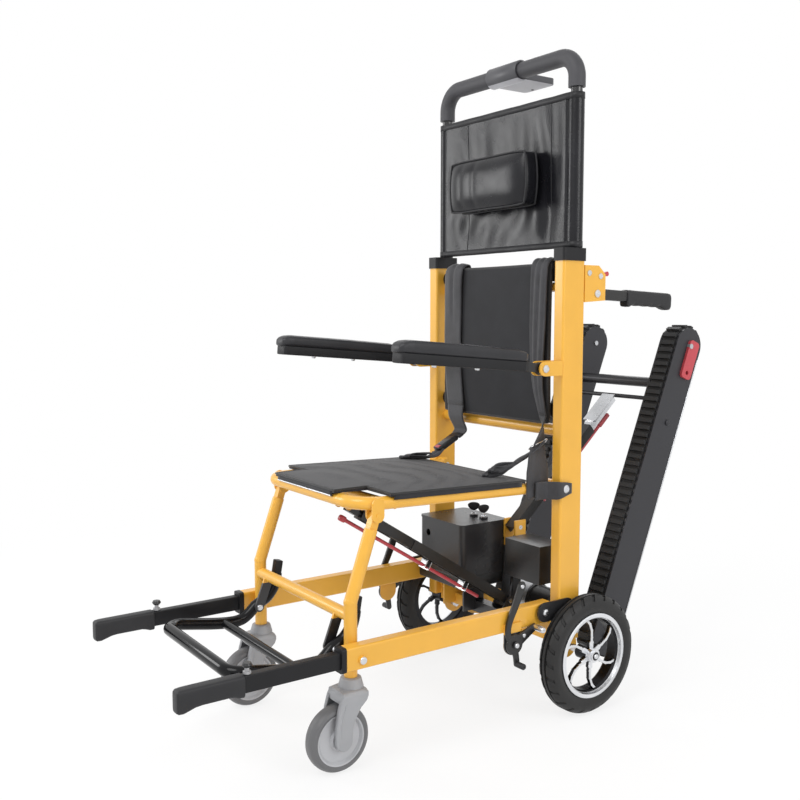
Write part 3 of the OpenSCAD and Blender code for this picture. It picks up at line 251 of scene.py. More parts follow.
def repaint(finish, colour, *tests):
    """Another colour over a finish where the values of all the tests are 1."""
    tree = finish.node_tree
    shader = tree.nodes["Principled BSDF"]
    under = shader.inputs["Base Color"].links[0].from_socket
    where = tests[0]
    for test in tests[1:]:
        both = add_node(tree, "Math", "MULTIPLY")
        wire(tree, where, both.inputs[0], test, both.inputs[1])
        where = both.outputs[0]
    blend = add_node(tree, "Mix")
    blend.data_type = "RGBA"
    set_inputs(blend, B=(*colour, 1.0))
    wire(tree, where, blend.inputs["Factor"], under, blend.inputs["A"],
         blend.outputs["Result"], shader.inputs["Base Color"])


def yellow_paint(name, *limits):
    """The frame's powder coat, black where all the limits hold: an axis, its value, and if above it."""
    finish = coated(name, yellow, 0.36, 900.0, 0.0002, 0.03, coat=0.25, strength=0.25)
    if limits:
        repaint(finish, (0.02, 0.02, 0.022), *[further(finish.node_tree, *limit) for limit in limits])
    return finish


powder_yellow = yellow_paint("powder_yellow")
dress(powder_yellow, "rear_posts", "seat_frame")
for paint, part, limits in (
    ("lug_paint", "post_brackets", [("Z", 0.265, False)]),
    ("leg_paint", "front_legs", [("Z", 0.2722, False), ("X", 0.155, False)]),
    ("chassis_paint", "chassis_frame", [("Z", 0.3, False), ("X", 0.0837, False)]),
    ("rail_paint", "side_rails", [("X", 0.2224, True), ("Z", 0.1945, False)]),
):
    dress(yellow_paint(paint, *limits), part)

# Black and grey moulded plastic: collars, sockets, armrests, grips, battery box and hand control,
# with the fine spark-eroded grain that such mouldings have. A lock pin is a plated stem in a black head.
moulded_black = coated("moulded_black", (0.012, 0.012, 0.0135), 0.42, 1400.0, 0.0003, 0.12, shine=0.25)
grip_black = coated("grip_black", (0.02, 0.02, 0.022), 0.5, 900.0, 0.0004, 0.15, shine=0.35)
case_grey = coated("case_grey", (0.03, 0.03, 0.033), 0.3, 1500.0, 0.0002, 0.1)
control_grey = coated("control_grey", (0.06, 0.06, 0.067), 0.42, 1500.0, 0.0002, 0.1)
pin_head_z = 0.2458
pin_finish = coated("pin_finish", (0.015, 0.015, 0.016), 0.35, 900.0, 0.0002, 0.1)
repaint(pin_finish, (0.36, 0.36, 0.37), further(pin_finish.node_tree, "Z", pin_head_z, False))
dress(pin_finish, "left_lock_pin", "right_lock_pin")
dress(moulded_black, "post_collars", "rail_sockets", "left_armrest", "right_armrest", "left_carry_handle",
      "right_carry_handle")
dress(grip_black, "left_rear_handle", "right_rear_handle")
dress(case_grey, "battery_case", "battery_lid", "ignition_key", "battery_key", "battery_pack")
dress(control_grey, "control_box", "direction_rocker")

# Red moulded parts: the thumb latches of the rear handles, the tensioner blocks at the tracks' upper
# ends, and the latch and the bar that release the two struts.
latch_red = coated("latch_red", (0.5, 0.055, 0.07), 0.34, 1200.0, 0.0002, 0.08)
dress(latch_red, "left_handle_latch", "right_handle_latch", "track_end_slides", "track_latch", "seat_release_bar")

# Black painted steel: footrest and push bar tube in gloss enamel, struts, brakes, motor and the folded
# sheet of the controller in a duller stoving paint.
enamel_black = coated("enamel_black", (0.011, 0.011, 0.012), 0.2, 700.0, 0.0002, 0.1, coat=0.4, strength=0.2)
sheet_black = coated("sheet_black", (0.016, 0.0155, 0.0155), 0.34, 1100.0, 0.0002, 0.12)
dress(enamel_black, "footrest", "push_bar_tube")
dress(sheet_black, "track_strut", "seat_strut", "seat_strut_rod", "left_brake_lever", "right_brake_lever",
      "controller_box", "drive_motor")

# Bare metal: zinc plated bolts, shafts and slides with fine brushing, and the cast aluminium of gearbox,
# rollers and rims. A rim is machined bright on its outer faces and black everywhere else.


def brushed(name, colour, roughness, stretch, relief=0.12):
    """Bare metal with fine lines of brushing, stretched along the axes."""
    finish, tree, shader = shader_tree(name, colour, roughness, 1.0)
    lines = noise(tree, 260.0, 4.0, stretch)
    rough_range(tree, shader, lines, roughness * 0.7, roughness * 1.3)
    drift(tree, shader, noise(tree, 22.0), colour, 0.07)
    bump(tree, shader, lines, relief, 0.0002)
    return finish


zinc = brushed("zinc", (0.66, 0.67, 0.69), 0.3, (0.1, 1.0, 1.0))
rim_alloy = brushed("rim_alloy", (0.74, 0.75, 0.77), 0.36, (0.2, 1.0, 1.0), 0.0)
cast_alloy = coated("cast_alloy", (0.52, 0.53, 0.55), 0.5, 500.0, 0.0004, 0.1, metallic=1.0)
dress(zinc, "wheel_axle", "frame_bolts", "drive_shaft", "track_strut_slide")
dress(rim_alloy, "left_rim", "right_rim")
dress(cast_alloy, "gearbox", "idler_rollers")
rim_low, rim_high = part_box("left_rim")
rim_mid = (rim_low + rim_high) / 2
rim_face = rim_high.x - 0.004
rim_tree = rim_alloy.node_tree
barrel_r = 0.0742
barrel_black = (0.03, 0.03, 0.032)
repaint(rim_alloy, barrel_black, beyond(rim_tree, (0.0, rim_mid.y, rim_mid.z), barrel_r),
        further(rim_tree, "X", rim_face - 0.0068, False))
repaint(rim_alloy, barrel_black, further(rim_tree, "X", rim_face - 0.0105, False))

# Crawler tracks: dark anodised aluminium side plates, and rubber belts with a row of cleats, a little
# dusty, that run round the rollers at both ends.
anodised = coated("anodised", (0.032, 0.032, 0.037), 0.42, 1500.0, 0.0001, 0.08, metallic=0.3)
belt_rubber = coated("belt_rubber", (0.022, 0.022, 0.023), 0.66, 500.0, 0.0005, 0.22)
dress(anodised, "track_beams")
dress(belt_rubber, "track_belts")

# Rear tyres of solid black rubber round the rims. Their tread is made further down, once the helper
# that turns a profile is there.
tyre_rubber = coated("tyre_rubber", (0.021, 0.0205, 0.0205), 0.5, 420.0, 0.0004, 0.16, shine=0.3)
dress(tyre_rubber, "left_tyre", "right_tyre")

# Foam: a closed-cell sleeve drawn over the push bar, matt, with tiny open pores. It moves with the
# push bar's tube.
foam_black = coated("foam_black", (0.04, 0.0395, 0.045), 0.5, 1800.0, 0.0006, 0.12, strength=0.6)
dress(foam_black, "push_bar_foam")

# Caster wheels: light grey plastic discs on the axles of their forks, with a darker grey tread
# round each.
caster_wheel = coated("caster_wheel", (0.46, 0.465, 0.485), 0.42, 900.0, 0.0003, 0.05)
caster_low, caster_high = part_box("left_caster_wheel")
caster_mid = (caster_low + caster_high) / 2
tread_r = 0.049
repaint(caster_wheel, (0.13, 0.13, 0.135),
        beyond(caster_wheel.node_tree, (0.0, caster_mid.y, caster_mid.z), tread_r))
dress(caster_wheel, "left_caster_wheel", "right_caster_wheel")

# Upper back: one sheet of black leather cloth with a sleeve round each leg of the push bar. It is
# pulled flat between the legs, with soft upright and slanting folds where the sewing draws it in.


def leather(name, colour, roughness):
    """Grained leather cloth: small pebbles, uneven gloss and a tone that drifts at random."""
    finish, tree, shader = shader_tree(name, colour, roughness)
    cells = add_node(tree, "TexVoronoi", Scale=420.0)
    wire(tree, add_node(tree, "TexCoord").outputs["Object"], cells.inputs["Vector"])
    drift(tree, shader, noise(tree, 9.0), colour, 0.25)
    rough_range(tree, shader, noise(tree, 30.0), roughness * 0.8, roughness * 1.2)
    bump(tree, shader, cells.outputs["Distance"], 0.35, 0.0005)
    set_inputs(shader, Specular_IOR_Level=0.28)
    return finish


def shown(bm, name, finish, body, angle=40.0):
    """Makes a finished piece of a bmesh, smooth except at its sharp edges, riding on a body if it has one."""
    mesh = bpy.data.meshes.new(name)
    bm.to_mesh(mesh)
    bm.free()
    mesh.shade_smooth()
    mesh.set_sharp_from_angle(angle=math.radians(angle))
    mesh.materials.append(finish)
    made = placed(name, mesh)
    if body:
        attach(made, body)
    return made


def round_off(made, levels):
    """Rounds a piece by dividing its faces."""
    rounding = made.modifiers.new("rounding", "SUBSURF")
    rounding.levels = levels
    rounding.render_levels = levels


def thicken(made, thickness, levels=0):
    """Gives a sheet its thickness, half to each side, and rounds it."""
    wall = made.modifiers.new("thickness", "SOLIDIFY")
    wall.thickness = thickness
    wall.offset = 0.0
    if levels:
        round_off(made, levels)


panel_low, panel_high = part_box("upper_back_panel")
panel_thick = 0.003
sleeve_r = 0.0154
leg_in = 0.017
leg_x = panel_high.x - leg_in
leg_y = panel_low.y + leg_in


def panel_path():
    """The sheet's route seen from above: round the right leg, across the front, round the left leg."""
    route = []
    for i in range(13):
        turn = math.radians(20.0 - i * 290.0 / 12)
        route.append((-leg_x + sleeve_r * math.cos(turn), leg_y + sleeve_r * math.sin(turn)))
    across = 44
    start = -leg_x + 0.006
    for i in range(across + 1):
        route.append((start + 2 * (-start) * i / across, leg_y - sleeve_r + 0.0012))
    return route + [(-x, y) for x, y in reversed(route[:13])]


def fold_depth(x, z):
    """How far a fold stands behind the sheet's flat front at a place."""
    reach = leg_x - 0.02
    if abs(x) > reach:
        return 0.0
    u = x / reach
    v = (z - panel_low.z) / (panel_high.z - panel_low.z)
    edge = min(1.0, (1 - abs(u)) * 5) * (0.3 + 0.7 * math.sin(math.pi * v))
    upright = 0.0016 * math.sin(10 * u - 1.5 * v) + 0.0009 * math.sin(19 * u + 2 * v)
    slant = 0.003 * math.sin(17 * u + 6 * v) * math.exp(-((u - 0.72) / 0.22) ** 2)
    low_slant = 0.0026 * math.sin(13 * (u - v)) * math.exp(-((v - 0.18) / 0.2) ** 2)
    far_slant = 0.002 * math.sin(12 * (u + v)) * math.exp(-((u + 0.8) / 0.22) ** 2)
    return edge * max(0.0, 0.0052 + upright + slant + low_slant + far_slant)


def panel_sheet(name, finish, z0, z1, rows, out):
    """A stretch of the sheet from one height to another, moved outwards by out."""
    bm = bmesh.new()
    route = panel_path()
    ring = [bm.verts.new((x, y, z0)) for x, y in route]
    edges = [bm.edges.new((ring[i], ring[i + 1])) for i in range(len(ring) - 1)]
    for row in range(rows):
        grown = bmesh.ops.extrude_edge_only(bm, edges=edges)["geom"]
        bmesh.ops.translate(bm, verts=[v for v in grown if isinstance(v, bmesh.types.BMVert)],
                            vec=(0.0, 0.0, (z1 - z0) / rows))
        edges = [e for e in grown if isinstance(e, bmesh.types.BMEdge)]
    bmesh.ops.recalc_face_normals(bm, faces=bm.faces)
    bm.normal_update()
    for v in bm.verts:
        v.co.y += fold_depth(v.co.x, v.co.z)
    if out:
        facing = -1.0 if sum(f.normal.y for f in bm.faces) > 0 else 1.0
        for v in bm.verts:
            v.co += v.normal * out * facing
    return shown(bm, name, finish, "push_handle", 60.0)


leather_black = leather("leather_black", (0.009, 0.009, 0.0112), 0.24)
hem_black = leather("hem_black", (0.02, 0.02, 0.022), 0.45)
upper_back = panel_sheet("upper_back", leather_black, panel_low.z + 0.001, panel_high.z - 0.001, 30, 0.0)
thicken(upper_back, panel_thick, 1)
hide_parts("upper_back_panel")
panel_height = panel_high.z - panel_low.z
hem_h = 0.013
hems = []
for hem_name, hem_z in (("upper_back_low_hem", panel_low.z), ("upper_back_top_hem", panel_high.z - hem_h)):
    hem = panel_sheet(hem_name, hem_black, hem_z, hem_z + hem_h, 2, 0.0008)
    thicken(hem, panel_thick + 0.0016)
    hems.append(hem)


def gathers(part):
    """Gives a part of the upper back a mesh of its own."""
    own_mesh(part)


for part in [upper_back] + hems:
    gathers(part)

# Headrest: a stuffed box pillow of the same leather cloth, its front and back sewn to a side band
# with a piping all round, and two soft channels pressed into the front.
pillow_low, pillow_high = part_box("headrest_pad")


def pulled(bm, faces, way):
    """Pulls faces out, with walls behind them, and gives the faces that moved."""
    grown = bmesh.ops.extrude_face_region(bm, geom=faces)["geom"]
    bmesh.ops.translate(bm, verts=[v for v in grown if isinstance(v, bmesh.types.BMVert)], vec=way)
    return [g for g in grown if isinstance(g, bmesh.types.BMFace)]


def shell(cells_x, cells_z, keep=None, walls=3):
    """A closed flat shell of square cells, x and z from -1 to 1, its front at y 0 and its back at 1."""
    bm = bmesh.new()
    bmesh.ops.create_grid(bm, x_segments=cells_x, y_segments=cells_z, size=1.0)
    if keep:
        gone = [f for f in bm.faces if not keep(f.calc_center_median().x, f.calc_center_median().y)]
        bmesh.ops.delete(bm, geom=gone, context="FACES")
    pulled(bm, list(bm.faces), (0.0, 0.0, 1.0))
    upright = [e for e in bm.edges if abs(e.verts[0].co.z - e.verts[1].co.z) > 0.5]
    bmesh.ops.subdivide_edges(bm, edges=upright, cuts=walls - 1, use_grid_fill=True)
    for v in bm.verts:
        v.co = Vector((v.co.x, v.co.z, v.co.y))
    bmesh.ops.recalc_face_normals(bm, faces=bm.faces)
    return bm


def seams(bm):
    """The points of a shell where front and back are sewn to the side band: all, the front's, the back's."""
    bm.verts.index_update()
    flat = [v for v in bm.verts if v.co.y < 0.01 or v.co.y > 0.99]
    sewn = [v for v in flat if any(0.01 < e.other_vert(v).co.y < 0.99 for e in v.link_edges)]
    front = [v.index for v in sewn if v.co.y < 0.5]
    back = [v.index for v in sewn if v.co.y > 0.5]
    return [v.index for v in sewn], front, back


def filled(bm, sewn, pressure, cap, steps=16):
    """Lets the filling press a sewn shell out, its seams held, no point moving more than cap."""
    mesh = bpy.data.meshes.new("filling")
    bm.to_mesh(mesh)
    made = placed("filling", mesh)
    made.vertex_groups.new(name="seam").add(sewn, 1.0, "REPLACE")
    cloth = made.modifiers.new("cloth", "CLOTH")
    cloth.settings.vertex_group_mass = "seam"
    cloth.settings.use_pressure = True
    cloth.settings.uniform_pressure_force = pressure
    cloth.settings.effector_weights.gravity = 0.0
    cloth.point_cache.frame_start = 1
    cloth.point_cache.frame_end = steps
    for step in range(1, steps + 1):
        bpy.context.scene.frame_set(step)
    pressed = made.evaluated_get(bpy.context.evaluated_depsgraph_get()).data
    bm.verts.ensure_lookup_table()
    for v, moved in zip(bm.verts, pressed.vertices):
        way = moved.co - v.co
        v.co += way * min(1.0, cap / max(way.length, 1e-9))
    bpy.context.scene.frame_set(1)
    bpy.data.objects.remove(made)
    return bm


def along(points, radius, name, finish, body, closed=False, fine=2):
    """A round cord or bar swept along points."""
    line = bpy.data.curves.new(name, "CURVE")
    line.dimensions = "3D"
    line.bevel_depth = radius
    line.bevel_resolution = fine
    line.use_fill_caps = True
    run = line.splines.new("POLY")
    run.points.add(len(points) - 1)
    run.use_cyclic_u = closed
    for spot, p in zip(run.points, points):
        spot.co = (*p, 1.0)
    drawn = placed("line", line)
    bpy.context.view_layer.update()
    bm = bmesh.new()
    bm.from_mesh(drawn.to_mesh())
    bpy.data.objects.remove(drawn)
    return shown(bm, name, finish, body, 50.0)


def loop_of(bm, picked):
    """The picked points in the order in which they follow each other round the seam."""
    left = set(picked)
    bm.verts.ensure_lookup_table()
    here = bm.verts[picked[0]]
    order = []
    while here is not None:
        order.append(here.co.copy())
        left.discard(here.index)
        near = [e.other_vert(here) for e in here.link_edges if e.other_vert(here).index in left]
        here = near[0] if near else None
    return order


for seam_name, seam_x in (("upper_back_right_seam", -0.118), ("upper_back_left_seam", 0.155)):
    heights = [panel_low.z + hem_h + (panel_height - 2 * hem_h) * i / 40 for i in range(41)]
    front_y = leg_y - sleeve_r + 0.0012 - panel_thick / 2
    seam_run = [Vector((seam_x, front_y + fold_depth(seam_x, z), z)) for z in heights]
    gathers(along(seam_run, 0.0011, seam_name, hem_black, "push_handle"))
pillow_mid = (pillow_low + pillow_high) / 2
pillow_size = pillow_high - pillow_low
bm = shell(30, 16, None, 4)
sewn, front_seam, back_seam = seams(bm)
for v in bm.verts:
    u, w = v.co.x, v.co.z
    crown = (1 - u ** 6) * (1 - w ** 4)
    press = 0.0025 * (math.exp(-((u + 0.62) / 0.05) ** 2) + math.exp(-((u + 0.26) / 0.05) ** 2))
    x = u * math.sqrt(1 - 0.10 * w * w) * (pillow_size.x / 2 - 0.003)
    z = w * math.sqrt(1 - 0.16 * u ** 4) * (pillow_size.z / 2 - 0.004) * (1 - 0.05 * (1 - u * u))
    depth = pillow_size.y * (0.27 + 0.5 * v.co.y)
    if v.co.y < 0.01:
        depth -= (0.22 * pillow_size.y - press) * crown
    elif v.co.y > 0.99:
        depth += 0.12 * pillow_size.y * crown
    v.co = Vector((pillow_mid.x + x, pillow_low.y + depth, pillow_mid.z + z))
headrest = filled(bm, sewn, 2.2, 0.004)
front_line = loop_of(headrest, front_seam)
back_line = loop_of(headrest, back_seam)
pillow = shown(headrest, "headrest", leather_black, "push_handle", 70.0)
round_off(pillow, 1)
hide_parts("headrest_pad")
along(front_line, 0.0022, "headrest_front_piping", hem_black, "push_handle", True)
along(back_line, 0.0022, "headrest_back_piping", hem_black, "push_handle", True)

# Lower back: a thin padded panel of dark woven cloth laced between the posts, with a bound edge and
# a moulded clip at each corner that ties it to the post.


def woven(name, colour, scale, roughness=0.85, sheen=0.25):
    """Plain woven cloth: warp and weft ridges crossing, a little fuzz."""
    finish, tree, shader = shader_tree(name, colour, roughness)
    place = add_node(tree, "TexCoord")
    crossing = add_node(tree, "Math", "MULTIPLY")
    for side, way in enumerate(("X", "Z")):
        wave = add_node(tree, "TexWave", Scale=scale)
        wave.bands_direction = way
        wire(tree, place.outputs["Object"], wave.inputs["Vector"], wave.outputs["Fac"], crossing.inputs[side])
    drift(tree, shader, noise(tree, 26.0, 5.0), colour, 0.2)
    bump(tree, shader, crossing.outputs[0], 0.5, 0.0006)
    set_inputs(shader, Sheen_Weight=sheen, Sheen_Roughness=0.5)
    return finish


def sharp(bm):
    """The edges whose faces meet at a marked angle."""
    return [e for e in bm.edges if e.calc_face_angle(0.0) > 1.0]


def bevelled(bm, edges, offset, segments):
    """Rounds edges."""
    bmesh.ops.bevel(bm, geom=edges, offset=offset, segments=segments, profile=0.5, affect="EDGES", material=-1)


back_cloth = woven("back_cloth", (0.0105, 0.0108, 0.0135), 130.0, 0.8, 0.07)
binding = woven("binding", (0.011, 0.011, 0.012), 260.0, 0.7)
back_low, back_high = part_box("lower_back_panel")
back_mid = (back_low + back_high) / 2
back_size = back_high - back_low
bm = shell(34, 32, None, 2)
sewn, front_seam, _ = seams(bm)
for v in bm.verts:
    u, w = v.co.x, v.co.z
    crown = (1 - u ** 4) * (1 - w ** 4)
    ripple = 0.0012 * math.sin(5 * u + 2 * w) * crown
    x = u * math.sqrt(1 - 0.03 * w ** 8) * (back_size.x / 2 - 0.002) * (1 - 0.014 * (1 - w * w))
    z = w * math.sqrt(1 - 0.03 * u ** 8) * (back_size.z / 2 - 0.002) * (1 - 0.01 * (1 - u * u))
    y = back_mid.y + (v.co.y - 0.5) * 0.009
    y += (ripple - 0.0035 * crown) if v.co.y < 0.01 else (0.001 * crown if v.co.y > 0.99 else 0.0)
    v.co = Vector((back_mid.x + x, y, back_mid.z + z))
panel = filled(bm, sewn, 1.0, 0.0025)
panel_line = loop_of(panel, front_seam)
lower_back = shown(panel, "lower_back", back_cloth, "frame", 60.0)
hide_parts("lower_back_panel")
along([p + Vector((0.0, 0.0035, 0.0)) for p in panel_line], 0.0042, "lower_back_binding", binding, "frame",
      True)
both_sides = ((1, "left"), (-1, "right"))
clip_r = 0.016
clip_thick = 0.006
for side, tag in reversed(both_sides):
    for clip_name, clip_z in (("top", back_high.z - 0.022), ("low", back_low.z + 0.03)):
        bm = bmesh.new()
        bmesh.ops.create_circle(bm, cap_ends=True, segments=24, radius=clip_r)
        for v in bm.verts:
            v.co = Vector((side * (0.183 + 0.0155 * (v.co.x / clip_r)), 0.0, v.co.y + clip_z))
        pulled(bm, list(bm.faces), (0.0, clip_thick, 0.0))
        bmesh.ops.translate(bm, verts=bm.verts, vec=(0.0, back_mid.y + 0.006, 0.0))
        bmesh.ops.recalc_face_normals(bm, faces=bm.faces)
        bevelled(bm, sharp(bm), 0.0012, 2)
        shown(bm, "back_clip_%s_%s" % (clip_name, tag), moulded_black, "frame")

# Shoulder straps: polyester webbing about 40 mm wide, hung over the top of the lower back. The
# sitter's right one lies flat in two ridges, the left one is gathered into long folds.


def webbing_cloth(name, colour):
    """Strap webbing: fine ribs across it and a soft sheen."""
    finish, tree, shader = shader_tree(name, colour, 0.6)
    ribs = add_node(tree, "TexWave", Scale=240.0)
    ribs.bands_direction = "DIAGONAL"
    wire(tree, add_node(tree, "TexCoord").outputs["Object"], ribs.inputs["Vector"])
    drift(tree, shader, noise(tree, 40.0), colour, 0.25)
    bump(tree, shader, ribs.outputs["Fac"], 0.4, 0.0005)
    set_inputs(shader, Sheen_Weight=0.2)
    return finish


def smooth(points, steps=6):
    """More points along a curve that runs through the given ones."""
    points = [Vector(p) for p in points]
    ends = [points[0] * 2 - points[1]] + points + [points[-1] * 2 - points[-2]]
    run = []
    for i in range(1, len(ends) - 2):
        a, b, c, d = ends[i - 1:i + 3]
        for k in range(steps):
            t = k / steps
            run.append(0.5 * (2 * b + (c - a) * t + (2 * a - 5 * b + 4 * c - d) * t * t
                              + (3 * b - a - 3 * c + d) * t ** 3))
    return run + [points[-1]]


def ribbon(name, points, across, thickness, body, finish, relief=None, steps=6):
    """A strap along points; across gives its half width as a vector at a share of the way."""
    bm = bmesh.new()
    run = smooth(points, steps)
    count = 13
    row = None
    for i, p in enumerate(run):
        share = i / (len(run) - 1)
        half = across(share)
        ahead = (run[min(i + 1, len(run) - 1)] - run[max(i - 1, 0)]).normalized()
        up = half.cross(ahead).normalized()
        line = []
        for k in range(count):
            s = 2 * k / (count - 1) - 1
            lift = relief(s, share) if relief else 0.0
            line.append(bm.verts.new(p + half * s + up * lift))
        if row:
            for k in range(count - 1):
                bm.faces.new((row[k], row[k + 1], line[k + 1], line[k]))
        row = line
    bmesh.ops.recalc_face_normals(bm, faces=bm.faces)
    length = sum((run[i + 1] - run[i]).length for i in range(len(run) - 1))
    width = sum(f.calc_area() for f in bm.faces) / length
    strap = shown(bm, name, finish, body, 80.0)
    thicken(strap, thickness)
    return strap


webbing = webbing_cloth("webbing", (0.026, 0.026, 0.03))
strap_y = back_mid.y + 0.0135
strap_front = back_mid.y - 0.0147
top = back_high.z
strap_end = top - 0.316
strap_thick = 0.0026


def over_the_top(x):
    """A strap's start: up behind the panel and forward over its top edge."""
    return [(x, strap_y + 0.006, top - 0.0365), (x, strap_y + 0.004, top + 0.001), (x, strap_y - 0.002, top + 0.0068),
            (x, strap_y - 0.014, top + 0.0068), (x, strap_y - 0.024, top - 0.003),
            (x, strap_front + 0.0006, top - 0.03)]


def two_ridges(s, share):
    """Two padded ridges with a seam between them, flat again near the strap's lower end."""
    padded_part = min(1.0, share * 6) * min(1.0, max(0.0, (0.72 - share) * 8))
    return -0.0046 * (1 - s * s) * (1 - math.exp(-(s / 0.16) ** 2)) * padded_part


def gathered(s, share):
    """Long folds of a strap that has been pulled together."""
    return -0.005 * (0.5 + 0.5 * math.cos(8 * s + 4 * share)) * math.sin(math.pi * min(1.0, 0.1 + share * 0.9))


def right_width(share):
    """The padded strap's half width: a narrow tab at the top, then wide, a little narrower below."""
    return Vector((0.025 + 0.007 * min(1.0, max(0.0, (share - 0.16) * 12)) - 0.003 * share, 0.0, 0.0))


def left_width(share):
    """The gathered strap's half width: it is drawn in at its lower end."""
    return Vector((0.0225 - 0.0125 * max(0.0, (share - 0.7) / 0.3), 0.0, 0.0))


right_x = -0.133
right_foot = Vector((-0.1215, strap_front, strap_end))
left_foot = Vector((0.172, strap_front, strap_end))
right_run = over_the_top(right_x) + [(right_x, strap_front, top - 0.1), (-0.134, strap_front, top - 0.17),
                                     (-0.131, strap_front, top - 0.24), right_foot]
left_run = over_the_top(0.157) + [(0.155, strap_front, top - 0.1), (0.153, strap_front, top - 0.2),
                                  (0.157, strap_front, top - 0.26), left_foot]
right_strap = ribbon("right_shoulder_strap", right_run, right_width, strap_thick, "frame", webbing,
                     two_ridges)
ribbon("left_shoulder_strap", left_run, left_width, strap_thick, "frame", webbing, gathered)
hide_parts("shoulder_straps")
stitch_z = top - 0.034
for stitch, rise in (("lower", -0.003), ("upper", 0.003)):
    bar = [Vector((right_x + way * 0.024, strap_front - 0.0018, stitch_z + rise)) for way in (-1.0, 1.0)]
    along(bar, 0.0008, "strap_stitch_" + stitch, webbing, "frame")

# Seat: a thin padded cover of woven cloth over the seat tubes, cut back at the two front corners so
# that the bends of the tube show, with a hemmed flap down the outside of each tube.


def hinged(place, lean):
    """A place and a lean about X there, in degrees."""
    return Matrix.Translation(place) @ Matrix.Rotation(math.radians(lean), 4, "X")


seat_place = hinged((0.0, 0.171021, 0.474), -1.6)
seat_half = 0.1967
seat_rear = -0.0825
seat_nose = -0.4888
seat_under = 0.0131
notch_x = 0.116
notch_y = -0.414
seat_cloth = woven("seat_cloth", (0.0145, 0.0145, 0.0178), 170.0, 0.85, 0.17)


def seat_keep(u, w):
    """Cells of the cover that are not in its two cut front corners."""
    y = seat_rear + (w - 1) / 2 * (seat_rear - seat_nose)
    return not (abs(u) * seat_half > notch_x and y < notch_y)


bm = shell(44, 44, seat_keep, 2)
sewn, top_seam, _ = seams(bm)
for v in bm.verts:
    u, w = v.co.x, v.co.z
    crown = (1 - u ** 6) * (1 - w ** 6)
    wave = 0.0004 * math.sin(6 * u + 3 * w) * math.sin(4 * w + 1)
    y = seat_rear + (w - 1) / 2 * (seat_rear - seat_nose)
    z = seat_under + (1 - v.co.y) * 0.0066
    z += (0.0026 + wave) * crown if v.co.y < 0.01 else 0.0
    v.co = Vector((u * seat_half, y, z))
bmesh.ops.recalc_face_normals(bm, faces=bm.faces)
cushion = filled(bm, sewn, 0.6, 0.0012)
seat_line = [seat_place @ (p - Vector((0.0, 0.0, 0.0012))) for p in loop_of(cushion, top_seam)]
cushion.transform(seat_place)
seat_pad = shown(cushion, "seat_cushion", seat_cloth, "seat", 60.0)
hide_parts("seat_sling")
along(seat_line, 0.0022, "seat_piping", binding, "seat", True)

flap_drop = 0.0105


def flap(name, start, end, ripple):
    """A hemmed flap that hangs from the cover's edge, a little wavy along its lower edge."""
    steps = 12
    run = [seat_place @ start.lerp(end, i / steps) for i in range(steps + 1)]
    half = seat_place.to_3x3() @ Vector((0.0, 0.0, flap_drop / 2))
    ribbon(name, run, lambda share: half, 0.0022, "seat", seat_cloth,
           lambda s, share: ripple * math.sin(21 * share + 2) * (1 - s) / 2, 2)


flap_z = seat_under + 0.004 - flap_drop / 2
flap_x = 0.1961
for side, tag in both_sides:
    flap("seat_flap_" + tag, Vector((side * flap_x, -0.092, flap_z)), Vector((side * flap_x, -0.406, flap_z)), 0.0006)
flap("seat_flap_front", Vector((0.108, -0.4881, flap_z)), Vector((-0.108, -0.4881, flap_z)), 0.0006)
strip = [seat_place @ Vector((x, -0.4893, flap_z - flap_drop / 2 + 0.0005)) for x in (-0.106, 0.106)]
along(strip, 0.0015, "seat_edge_strip", zinc, "seat")

# Lap belt: the lower ends of the shoulder straps. The right one ends in a tongue and a moulded latch
# that lies down to the seat, where its webbing is left in a fold; the left one runs through a plated
# slide, lies crumpled over the seat's edge and is anchored round the seat tube at the pivot bolt.


def block(size):
    """A plain block about the origin."""
    bm = bmesh.new()
    bmesh.ops.create_cube(bm, size=1.0)
    bmesh.ops.scale(bm, vec=size, verts=bm.verts)
    return bm


def rounded_box(name, size, place, finish, body, edge, turn=None):
    """A block with rounded edges at a place."""
    bm = block(size)
    bevelled(bm, list(bm.edges), edge, 3)
    if turn is not None:
        bm.transform(turn)
    bmesh.ops.translate(bm, verts=bm.verts, vec=place)
    return shown(bm, name, finish, body)


def along_turn(start, end, roll=0.0):
    """The turn that lays a block's long side, its Y, along a line, with its flat side upwards."""
    ahead = (end - start).normalized()
    side = ahead.cross(Vector((0.0, 0.0, 1.0))).normalized()
    up = side.cross(ahead)
    turn = Matrix((side, ahead, up)).transposed().to_4x4()
    return turn @ Matrix.Rotation(roll, 4, "Y")


def crumpled(s, share):
    """Folds of webbing that lies in a heap."""
    return 0.0045 * math.sin(7 * s + 9 * share) * math.sin(math.pi * share) + 0.003 * math.sin(17 * share)


